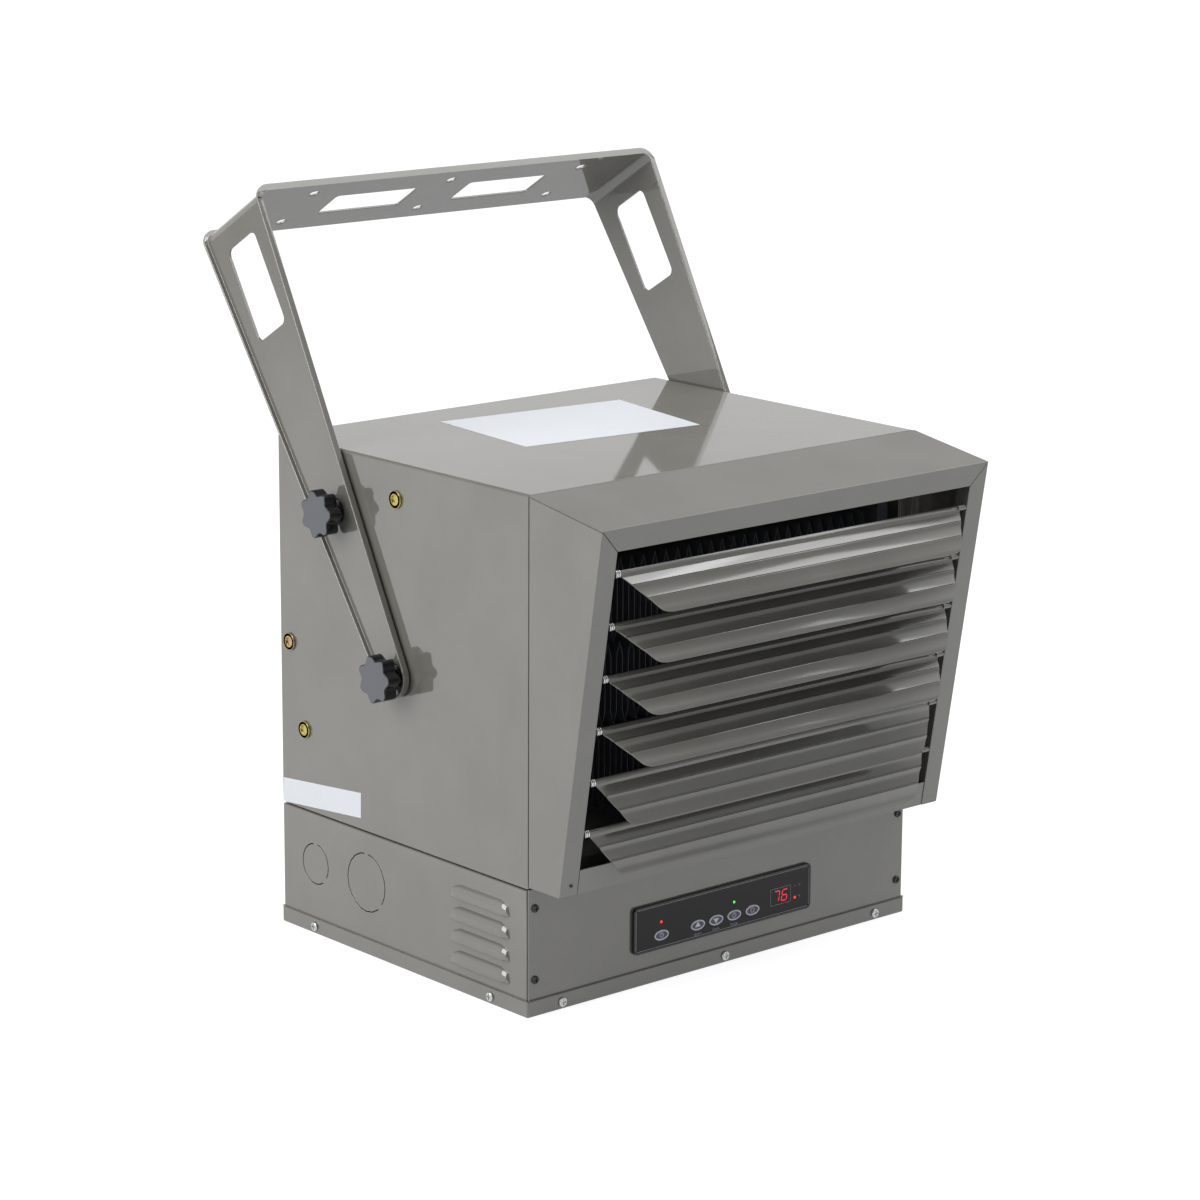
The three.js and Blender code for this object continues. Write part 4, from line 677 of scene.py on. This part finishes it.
def use(node, material):
    """Puts a material on a CAD node that keeps its own shape."""
    node = nodes[node]
    for slot in node.material_slots:
        slot.link = "OBJECT"
        slot.material = material


use("circuit_board", board_green)
for gear in ("contactor_left", "contactor_right", "terminal_block"):
    use(gear, cream_moulding)
use("transformer", core_steel)


# ---- Cabinet -----------------------------------------------------------------------------
# Left side, top and right side folded from one enamelled sheet. Two paper labels, left
# blank here, are stuck on the top and low on the left side.

dressed("cabinet_shell", "cabinet_wrap", "cabinet", painted, 0.0003, 50, fold=0.0007)


def label_paper():
    """Coated label paper: white, faintly fibrous, with a low gloss."""
    material, tree, shader = new_material("coated_label_paper")
    place = add(tree, "ShaderNodeTexCoord").outputs["Object"]
    fibre = add(tree, "ShaderNodeTexNoise", {"Scale": 700.0, "Detail": 4.0}, {"Vector": place})
    shade = add(tree, "ShaderNodeValToRGB", None, {"Fac": fibre.outputs["Fac"]})
    shade.color_ramp.elements[0].color = linear("#d4d7db")
    shade.color_ramp.elements[1].color = linear("#e4e7eb")
    tree.links.new(shade.outputs["Color"], shader.inputs["Base Color"])
    shader.inputs["Roughness"].default_value = 0.42
    relief = add(tree, "ShaderNodeBump", {"Strength": 0.1, "Distance": 0.0001},
                 {"Height": fibre.outputs["Fac"]})
    tree.links.new(relief.outputs["Normal"], shader.inputs["Normal"])
    return material


def label(name, corners, outward, material):
    """A sheet of label paper 0.15 mm thick, stuck flat at four corners."""
    deselect()
    bpy.ops.mesh.primitive_plane_add(size=1)
    sheet = bpy.context.object
    sheet.name = name
    lift = Vector(outward) * 0.0001
    for vertex, corner in zip(sheet.data.vertices, corners):
        vertex.co = Vector(corner) + lift
    apply_modifier(sheet, "SOLIDIFY", thickness=0.00015, offset=0)
    bpy.ops.object.mode_set(mode="EDIT")
    bpy.ops.mesh.select_all(action="SELECT")
    bpy.ops.mesh.normals_make_consistent(inside=False)
    bpy.ops.object.mode_set(mode="OBJECT")
    return finish(sheet, "cabinet", material)


paper = label_paper()
cabinet_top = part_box("cabinet_shell")[1].z
cabinet_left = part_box("cabinet_shell")[0].x
label("top_label", [(-0.088, -0.013, cabinet_top), (0.086, -0.032, cabinet_top),
                    (-0.074, 0.116, cabinet_top), (0.110, 0.097, cabinet_top)],
      (0, 0, 1), paper)
label("side_label", [(cabinet_left, 0.1595, 0.1065), (cabinet_left, 0.0529, 0.1158),
                     (cabinet_left, 0.1589, 0.1274), (cabinet_left, 0.0526, 0.1373)],
      (-1, 0, 0), paper)


# ---- Rear panel and finger guard ---------------------------------------------------------
# An enamelled sheet with a drawn round inlet. A guard of welded, black coated wire rings
# stands off it on four lugs.

dressed("rear_panel", "inlet_panel", "cabinet", painted, 0.0003, 30)
wire_black = plastic("black_dip_coated_wire", "#26272a", 0.35, 0.5, 700.0, 0.1)
fan_centre = (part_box("motor")[0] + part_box("motor")[1]) / 2
panel_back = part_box("rear_panel")[1].y
wire = 0.0028
ring_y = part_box("rear_guard")[1].y - wire / 2
spoke_y = ring_y - wire * 0.85
outer_ring = 0.143
ring_gap = 0.0126
guard_parts = []
radius = outer_ring
while radius > 0.02:
    deselect()
    bpy.ops.mesh.primitive_torus_add(
        major_segments=72, minor_segments=8, major_radius=radius, minor_radius=wire / 2,
        location=(fan_centre.x, ring_y, fan_centre.z), rotation=(math.pi / 2, 0, 0))
    bpy.ops.object.shade_smooth()
    guard_parts.append(bpy.context.object)
    innermost = radius
    radius -= ring_gap
spoke_length = outer_ring - innermost + wire
for i in range(8):
    turn = math.radians(22.5) + i * math.pi / 4
    reach = innermost - wire / 2 + spoke_length / 2
    deselect()
    bpy.ops.mesh.primitive_cylinder_add(
        vertices=10, radius=wire / 2, depth=spoke_length,
        location=(fan_centre.x + reach * math.cos(turn), spoke_y,
                  fan_centre.z + reach * math.sin(turn)),
        rotation=(0, math.pi / 2 - turn, 0))
    bpy.ops.object.shade_smooth_by_angle(angle=math.radians(50))
    guard_parts.append(bpy.context.object)
for i in range(4):
    turn = math.pi / 4 + i * math.pi / 2
    deselect()
    bpy.ops.mesh.primitive_cylinder_add(
        vertices=24, radius=0.0048, depth=ring_y - panel_back,
        location=(fan_centre.x + outer_ring * math.cos(turn), (ring_y + panel_back) / 2,
                  fan_centre.z + outer_ring * math.sin(turn)),
        rotation=(math.pi / 2, 0, 0))
    lug = bpy.context.object
    apply_modifier(lug, "BEVEL", width=0.0006, segments=2)
    bpy.ops.object.shade_smooth_by_angle(angle=math.radians(40))
    guard_parts.append(lug)
guard = finish(joined("wire_finger_guard", guard_parts), "cabinet", wire_black)
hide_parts("rear_guard")


# ---- Deck, bulkhead, fan and motor -------------------------------------------------------
# Galvanised sheet carries the fan's rolled orifice; a pressed aluminium fan turns on a black
# motor held by a four-armed zinc strap.

def galvanised_sheet():
    """Hot-dip galvanised steel: grey metal with faint spangles some 8 mm across."""
    material, tree, shader = new_material("galvanised_sheet")
    shader.inputs["Metallic"].default_value = 1.0
    place = add(tree, "ShaderNodeTexCoord").outputs["Object"]
    spangle = add(tree, "ShaderNodeTexVoronoi", {"Scale": 120.0}, {"Vector": place})
    grey = add(tree, "ShaderNodeRGBToBW", None, {"Color": spangle.outputs["Color"]})
    tone = add(tree, "ShaderNodeValToRGB", None, {"Fac": grey.outputs["Val"]})
    tone.color_ramp.elements[0].color = linear("#5c5e5f")
    tone.color_ramp.elements[1].color = linear("#707273")
    tree.links.new(tone.outputs["Color"], shader.inputs["Base Color"])
    dull = add(tree, "ShaderNodeMapRange", {"To Min": 0.35, "To Max": 0.55},
               {"Value": grey.outputs["Val"]})
    tree.links.new(dull.outputs["Result"], shader.inputs["Roughness"])
    return material


galvanised = galvanised_sheet()
for plain in ("deck_plate", "fan_bulkhead"):
    use(plain, galvanised)
use("motor_bracket", zinc)
motor_black = plastic("black_stoved_paint", "#2b2c2e", 0.35, 0.5, 400.0, 0.1)
dressed("motor", "motor_shell", "cabinet", motor_black, 0.0006, 25)
# Mill-finish aluminium is bright with a fine rolling grain.
aluminium = metal("mill_finish_aluminium", "#b9bcbe", 0.28, 0.46, 240.0, 4.0)
dressed("fan", "pressed_fan", "fan", aluminium, 0.0004, 32)
use("thermal_cutout", bezel_black)
use("temperature_sensor", bezel_black)


# ---- Heating elements --------------------------------------------------------------------
# Three black finned elements, one above the other. Folded fin strip is pressed onto each
# hairpin tube: the folds meet in narrow tips at the top and at the bottom.

fin_pitch = 0.0061
fin_metal = 0.00035
tip_height = 0.011
strip_length = 0.336
leg = 0.0225                # from the element's middle to each leg of its tube
tube_start, tube_bend = -0.182, 0.1796
tube_radius = 0.0053
fin_black_and_bracket_shade = plastic("black_oxidised_fins_and_painted_bracket_shade", "#47484d", 0.3, 0.42, 300.0, 0.1)
# The element brackets take this black too: painted shade for the dark inside of the cabinet
# where they stand.
for hand in ("left", "right"):
    use(f"element_bracket_{hand}", fin_black_and_bracket_shade)


def fin_strip(name, low, high):
    """A folded strip: one fold is drawn out edge by edge and arrayed along X, then given its
    thickness."""
    folds = int(strip_length / (2 * fin_pitch))
    start = -folds * fin_pitch
    outline = [(0, low.z), (fin_pitch / 2, low.z + tip_height),
               (fin_pitch / 2, high.z - tip_height), (fin_pitch, high.z),
               (fin_pitch * 1.5, high.z - tip_height), (fin_pitch * 1.5, low.z + tip_height),
               (fin_pitch * 2, low.z)]
    deselect()
    bpy.ops.mesh.primitive_plane_add(size=1)
    strip = bpy.context.object
    strip.name = name
    bpy.ops.object.mode_set(mode="EDIT")
    bpy.ops.mesh.select_mode(type="EDGE")
    bpy.ops.mesh.select_all(action="DESELECT")
    bpy.ops.object.mode_set(mode="OBJECT")
    corners = [(start + x, y, z) for y in (low.y, high.y) for x, z in outline[:2]]
    for vertex, corner in zip(strip.data.vertices, corners):
        vertex.co = corner
    for edge in strip.data.edges:
        edge.select = all(strip.data.vertices[i].co.x > start for i in edge.vertices)
    bpy.ops.object.mode_set(mode="EDIT")
    for (x, z), (next_x, next_z) in zip(outline[1:], outline[2:]):
        bpy.ops.mesh.extrude_region_move(
            TRANSFORM_OT_translate={"value": (next_x - x, 0, next_z - z)})
    bpy.ops.mesh.select_mode(type="FACE")
    bpy.ops.object.mode_set(mode="OBJECT")
    apply_modifier(strip, "ARRAY", count=folds, use_relative_offset=False,
                   use_constant_offset=True, constant_offset_displace=(2 * fin_pitch, 0, 0),
                   use_merge_vertices=True, merge_threshold=0.0001)
    apply_modifier(strip, "SOLIDIFY", thickness=fin_metal, offset=0)
    return strip


def swept(name, path, radius, rings, angle):
    """Round tube or wire along a path of points, as a closed mesh."""
    deselect()
    bpy.ops.curve.primitive_bezier_curve_add()
    line = bpy.context.object
    line.name = name
    line.data.splines.clear()
    spline = line.data.splines.new("POLY")
    spline.points.add(len(path) - 1)
    for point, place in zip(spline.points, path):
        point.co = (*place, 1)
    line.data.dimensions = "3D"
    line.data.bevel_depth = radius
    line.data.bevel_resolution = rings
    line.data.use_fill_caps = True
    only(line)
    bpy.ops.object.convert(target="MESH")
    bpy.ops.object.shade_smooth_by_angle(angle=math.radians(angle))
    return bpy.context.object


def hairpin(name, middle):
    """The tube, two straight legs joined by a half turn, and the two pins of its ends."""
    path = [(tube_start, -leg), (tube_bend, -leg)]
    for i in range(1, 16):
        turn = i * math.pi / 16
        path.append((tube_bend + leg * math.sin(turn), -leg * math.cos(turn)))
    path += [(tube_bend, leg), (tube_start, leg)]
    parts = [swept(name, [(x, middle.y, middle.z + above) for x, above in path],
                   tube_radius, 6, 50)]
    for above in (-leg, leg):
        deselect()
        bpy.ops.mesh.primitive_cylinder_add(
            vertices=16, radius=0.002, depth=0.010,
            location=(tube_start - 0.004, middle.y, middle.z + above),
            rotation=(0, math.pi / 2, 0))
        parts.append(bpy.context.object)
    return parts


for word in ("lower", "middle", "upper"):
    low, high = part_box(f"heating_element_{word}")
    parts = hairpin(f"tube_{word}", (low + high) / 2)
    parts.append(fin_strip(f"fins_{word}", low, high))
    element = finish(joined(f"finned_element_{word}", parts), "cabinet", fin_black_and_bracket_shade)
    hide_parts(f"heating_element_{word}")


# ---- Discharge hood ----------------------------------------------------------------------
# A top sheet with its front flange, two cheeks whose flanges meet it in mitres, and a sill
# strip, all folded from enamelled sheet. A small dark ball on the left flange is painted shade
# for a pressed dimple.

for node, name, fold in (("hood_top", "hood_top_sheet", 0.0006),
                         ("hood_left", "hood_left_cheek", 0.0007),
                         ("hood_right", "hood_right_cheek", 0.0007)):
    sheet = dressed(node, name, "cabinet", painted, 0.0003, fold=fold)
    pull_edge(sheet, 1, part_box(node)[1].y - sheet_metal, -seam_pull)
dressed("hood_sill", "hood_sill_strip", "cabinet", painted, 0.0004, fold=0.0012)
# Painted shade: a small black ball stands for the dark hollow of the pressed dimple.
dimple_place = (-0.1994, -0.2005, 0.1169)
deselect()
bpy.ops.mesh.primitive_uv_sphere_add(segments=20, ring_count=10, radius=0.0014,
                                     location=dimple_place)
dimple = bpy.context.object
dimple.name = "painted_shade_in_flange_dimple"
bpy.ops.object.shade_smooth()
finish(dimple, "cabinet", black_screw_and_dimple_shade)


# ---- Louvers and their springs -----------------------------------------------------------
# Six roll-formed blades of enamelled steel. Each turns on two pins, and a short coil of
# bright wire on the left pin holds it where it is set.

# The blades' enamel has a satin skin. Its colour is set a little darker than the cabinet's, as
# painted shade for the dark gaps between the blades.
satin_blade_enamel_with_painted_shade = enamel("baked_satin_enamel_darkened_as_painted_shade", 0.14, "#5e5c55", "#6a6861")
# The blade's section in mm: how far from the pivot, and how high above the chord. It has a
# hemmed lip, a valley, and flats that end in a groove, a crest and a short ramp.
section = [(-2.0, -0.1), (-1.8, 0.7), (-1.3, 1.0), (1.6, 1.0), (2.0, 0.8), (2.1, 0.3),
           (2.42, 0), (4.1, -0.6), (6.2, -0.1), (11.5, 0.8), (11.75, 0.1), (12.65, 0.1),
           (12.9, 1.1), (13.15, 1.3), (13.5, 1.15), (16.53, 0.2), (24.6, 1.15),
           (24.85, 0.5), (25.75, 0.5), (26.0, 1.5), (26.3, 1.75), (26.7, 1.62),
           (29.87, 0.74), (40.0, 0.3)]
under = [(40.0, -0.6), (29.87, -0.16), (26.67, 0.05), (16.53, -0.7), (13.33, -0.4),
         (6.2, -0.9), (4.1, -1.5), (2.42, -0.9), (2.0, -0.6), (-1.6, -0.6), (-1.9, -0.45)]
# Its outline in mm, for x > 0: the ends are cut back on a slant with a rounded free corner.
half_outline = [(185.2, -3.0), (185.2, 2.0), (178.5, 13.33), (170.0, 26.67), (164.85, 34.6),
                (163.9, 35.9), (161.6, 37.8), (158.2, 39.2), (153.6, 39.9), (149.1, 40.0)]
# Where its pins start and end in mm, and how thick the pins and the right one's shoulder are.
pin_start, pin_end = 175.2, 195.1
pin, shoulder = 2.5, 5.0


def prism(name, points, axis, depth):
    """A polygon extruded by ops: its points lie in the plane square to the axis."""
    deselect()
    bpy.ops.mesh.primitive_circle_add(vertices=len(points), radius=1, fill_type="NGON")
    solid = bpy.context.object
    solid.name = name
    for vertex, (u, v) in zip(solid.data.vertices, points):
        vertex.co = (-depth / 2, -u, v) if axis == "X" else (u, -v, -depth / 2)
    bpy.ops.object.mode_set(mode="EDIT")
    bpy.ops.mesh.select_all(action="SELECT")
    move = (depth, 0, 0) if axis == "X" else (0, 0, depth)
    bpy.ops.mesh.extrude_region_move(TRANSFORM_OT_translate={"value": move})
    bpy.ops.mesh.select_all(action="SELECT")
    bpy.ops.mesh.normals_make_consistent(inside=False)
    bpy.ops.object.mode_set(mode="OBJECT")
    return solid


def blade():
    """One blade in its own frame, with its pins and the shoulder of the right pin."""
    sheet = prism("blade", [(u / 1000, v / 1000) for u, v in section + under], "X", 0.3704)
    outline = half_outline + [(-x, along) for x, along in reversed(half_outline)]
    cutter = prism("outline", [(x / 1000, along / 1000) for x, along in outline], "Z", 0.02)
    apply_modifier(sheet, "BOOLEAN", operation="INTERSECT", object=cutter, solver="EXACT")
    bpy.data.objects.remove(cutter)
    apply_modifier(sheet, "BEVEL", width=0.00018, segments=2, limit_method="ANGLE",
                   angle_limit=math.radians(80), use_clamp_overlap=False)
    bpy.ops.object.shade_smooth_by_angle(angle=math.radians(26))
    parts = [sheet]
    for low_x, high_x, across in ((-pin_end, -pin_start, pin), (pin_start, pin_end, pin),
                                  (183.2, 191.6, shoulder)):
        deselect()
        bpy.ops.mesh.primitive_cylinder_add(
            vertices=16, radius=across / 2000, depth=(high_x - low_x) / 1000,
            location=((low_x + high_x) / 2000, 0, 0), rotation=(0, math.pi / 2, 0))
        bpy.ops.object.shade_smooth_by_angle(angle=math.radians(40))
        parts.append(bpy.context.object)
    whole = joined("blade", parts[::-1])
    bpy.ops.object.transform_apply(location=True, rotation=True, scale=True)
    return whole


pivots = {joint["child"]: Vector(joint["pos_m"]) for joint in frame["joints"]
          if joint["child"].startswith("louver")}
rest_angles = (48, 44, 44, 44, 64, 68)
first_blade = blade()
for i, angle in enumerate(rest_angles, 1):
    only(first_blade)
    bpy.ops.object.duplicate()
    turned = bpy.context.object
    turned.name = f"louver_blade_{i}"
    turned.rotation_euler = (math.radians(angle), 0, 0)
    turned.location = (0, *pivots[f"louver_{i}"][1:])
    finish(turned, f"louver_{i}", satin_blade_enamel_with_painted_shade)
    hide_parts(f"louver_{i}")
bpy.data.objects.remove(first_blade)

# Bright drawn spring wire is almost a mirror along its curls.
spring_steel = metal("bright_spring_wire", "#dcdddd", 0.12, 0.22, 2500.0, 1.0)
curls = 3
steps_per_curl = 24
spring_gauge = 0.001
for i in range(1, 7):
    low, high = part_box(f"louver_spring_{i}")
    centre = (low + high) / 2
    radius = (high.z - low.z - spring_gauge) / 2
    start, end = low.x + spring_gauge / 2, high.x - spring_gauge / 2
    steps = curls * steps_per_curl
    path = []
    for k in range(steps + 1):
        turn = k * math.tau / steps_per_curl
        path.append((start + (end - start) * k / steps, centre.y + radius * math.cos(turn),
                     centre.z + radius * math.sin(turn)))
    coil = swept(f"spring_coil_{i}", path, spring_gauge / 2, 3, 60)
    finish(coil, "cabinet", spring_steel)
    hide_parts(f"louver_spring_{i}")


# ---- Threaded inserts --------------------------------------------------------------------
# Yellow-passivated steel inserts, their flanges proud of the side panels, are set in a
# doubler plate behind the sheet. The one level with the pivot is copper coloured.

def passivated(name, pale, deep):
    """Yellow zinc passivate: metal with a gold film that shifts in tint over a few mm."""
    material, tree, shader = new_material(name)
    shader.inputs["Metallic"].default_value = 1.0
    place = add(tree, "ShaderNodeTexCoord").outputs["Object"]
    film = add(tree, "ShaderNodeTexNoise", {"Scale": 300.0, "Detail": 2.0}, {"Vector": place})
    tint = add(tree, "ShaderNodeValToRGB", None, {"Fac": film.outputs["Fac"]})
    tint.color_ramp.elements[0].position = 0.35
    tint.color_ramp.elements[0].color = linear(deep)
    tint.color_ramp.elements[1].position = 0.65
    tint.color_ramp.elements[1].color = linear(pale)
    tree.links.new(tint.outputs["Color"], shader.inputs["Base Color"])
    dull = add(tree, "ShaderNodeMapRange", {"To Min": 0.2, "To Max": 0.34},
               {"Value": film.outputs["Fac"]})
    tree.links.new(dull.outputs["Result"], shader.inputs["Roughness"])
    return material


yellow = passivated("yellow_passivated_zinc", "#d6cc86", "#b8a95c")
copper = passivated("copper_flash_on_steel", "#cfb0a0", "#b08d7c")
pivot_y, pivot_z = 0.003, 0.2478
lock_radius = 0.1443
flange_radius, flange_depth, flange_width = 0.0074, 0.0017, 0.0030
insert_places = {"pivot": (pivot_y, pivot_z)}
for degrees in (0, 31.25, 90, 120):
    turn = math.radians(degrees)
    insert_places[f"at_{int(degrees)}"] = (pivot_y + lock_radius * math.sin(turn),
                                           pivot_z + lock_radius * math.cos(turn))
for side, sign in (("left", -1), ("right", 1)):
    face = abs(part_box(f"insert_plate_{side}")[0 if sign < 0 else 1].x)
    for word, (y, z) in insert_places.items():
        deselect()
        bpy.ops.mesh.primitive_cylinder_add(
            vertices=48, radius=flange_radius, depth=flange_depth,
            location=(sign * (face - flange_depth / 2), y, z),
            rotation=(0, sign * math.pi / 2, 0))
        insert = bpy.context.object
        insert.name = f"insert_{side}_{word}"
        bpy.ops.object.transform_apply(location=True, rotation=True, scale=True)
        for poly in insert.data.polygons:
            poly.select = poly.normal.x * sign > 0.9
        bpy.ops.object.mode_set(mode="EDIT")
        bpy.ops.mesh.select_mode(type="FACE")
        bpy.ops.mesh.inset(thickness=flange_width)
        bpy.ops.mesh.extrude_region_move(
            TRANSFORM_OT_translate={"value": (-sign * 0.0014, 0, 0)})
        bpy.ops.object.mode_set(mode="OBJECT")
        ease_edges(insert, 0.0004, 40, 3)
        finish(insert, "cabinet", copper if word == "at_90" else yellow)
    use(f"insert_plate_{side}", yellow)


# ---- Yoke --------------------------------------------------------------------------------
# One heavy pressed steel channel bent to a U, with its edges turned outwards, windows in
# the arms and the cross-bar, and six holes for the ceiling bolts.

dressed("yoke", "yoke_channel", "yoke", painted, 0.0005, 50, fold=0.0016)


# ---- Star knobs --------------------------------------------------------------------------
# Moulded black knobs of seven lobes on zinc plated studs: glossy flanks and a satin face.

knob_flank = plastic("black_phenolic_flank", "#101114", 0.08, 0.14, 500.0, 0.1)
knob_face = plastic("satin_grey_knob_face", "#5c5e64", 0.32, 0.42, 600.0, 0.1)
lobes = 7
lobe_depth = 0.105
knob_thickness, knob_radius = 0.012, 0.020
hub_start = 0.2146          # just outside the yoke's flange
stud_radius = 0.0039
for side, sign in (("left", -1), ("right", 1)):
    for kind in ("pivot", "lock"):
        node = f"{kind}_knob_{side}"
        low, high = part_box(node)
        centre = (low + high) / 2
        outer = high.x if sign > 0 else low.x
        deselect()
        bpy.ops.mesh.primitive_cylinder_add(
            vertices=lobes * 16, radius=knob_radius, depth=knob_thickness,
            location=(outer - sign * knob_thickness / 2, centre.y, centre.z),
            rotation=(0, sign * math.pi / 2, 0))
        head = bpy.context.object
        bpy.ops.object.transform_apply(location=True, rotation=True, scale=True)
        lean = math.radians(31.25)
        for vertex in head.data.vertices:
            y, z = vertex.co.y - centre.y, vertex.co.z - centre.z
            turn = math.atan2(z, y) + lean
            reach = 1 - lobe_depth * (1 - math.cos(lobes * turn))
            vertex.co.y = centre.y + y * reach
            vertex.co.z = centre.z + z * reach
        for poly in head.data.polygons:
            poly.select = poly.normal.x * sign > 0.9
        head.data.materials.append(knob_flank)
        head.data.materials.append(knob_face)
        bpy.ops.object.mode_set(mode="EDIT")
        bpy.ops.mesh.select_mode(type="FACE")
        bpy.ops.mesh.inset(thickness=0.0008)
        head.active_material_index = 1
        bpy.ops.object.material_slot_assign()
        bpy.ops.object.mode_set(mode="OBJECT")
        ease_edges(head, 0.0007, 50, 3)
        hub_end = abs(outer) - knob_thickness + 0.001
        deselect()
        bpy.ops.mesh.primitive_cone_add(
            vertices=48, radius1=0.0115, radius2=0.0125, depth=hub_end - hub_start,
            location=(sign * (hub_start + hub_end) / 2, centre.y, centre.z),
            rotation=(0, sign * math.pi / 2, 0))
        hub = bpy.context.object
        bpy.ops.object.transform_apply(location=True, rotation=True, scale=True)
        hub.data.materials.append(knob_flank)
        apply_modifier(hub, "BEVEL", width=0.0005, segments=2, limit_method="ANGLE",
                       angle_limit=math.radians(50))
        bpy.ops.object.shade_smooth_by_angle(angle=math.radians(40))
        stud_end = abs(high.x if sign < 0 else low.x)
        deselect()
        bpy.ops.mesh.primitive_cylinder_add(
            vertices=32, radius=stud_radius, depth=hub_end - stud_end,
            location=(sign * (stud_end + hub_end) / 2, centre.y, centre.z),
            rotation=(0, math.pi / 2, 0))
        stud = bpy.context.object
        bpy.ops.object.transform_apply(location=True, rotation=True, scale=True)
        stud.data.materials.append(zinc)
        bpy.ops.object.shade_smooth_by_angle(angle=math.radians(40))
        knob = joined(f"star_knob_{kind}_{side}", [stud, hub, head])
        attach(knob, node)
        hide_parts(node)


# ---- Overall bounds of the heater --------------------------------------------------------

low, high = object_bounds()
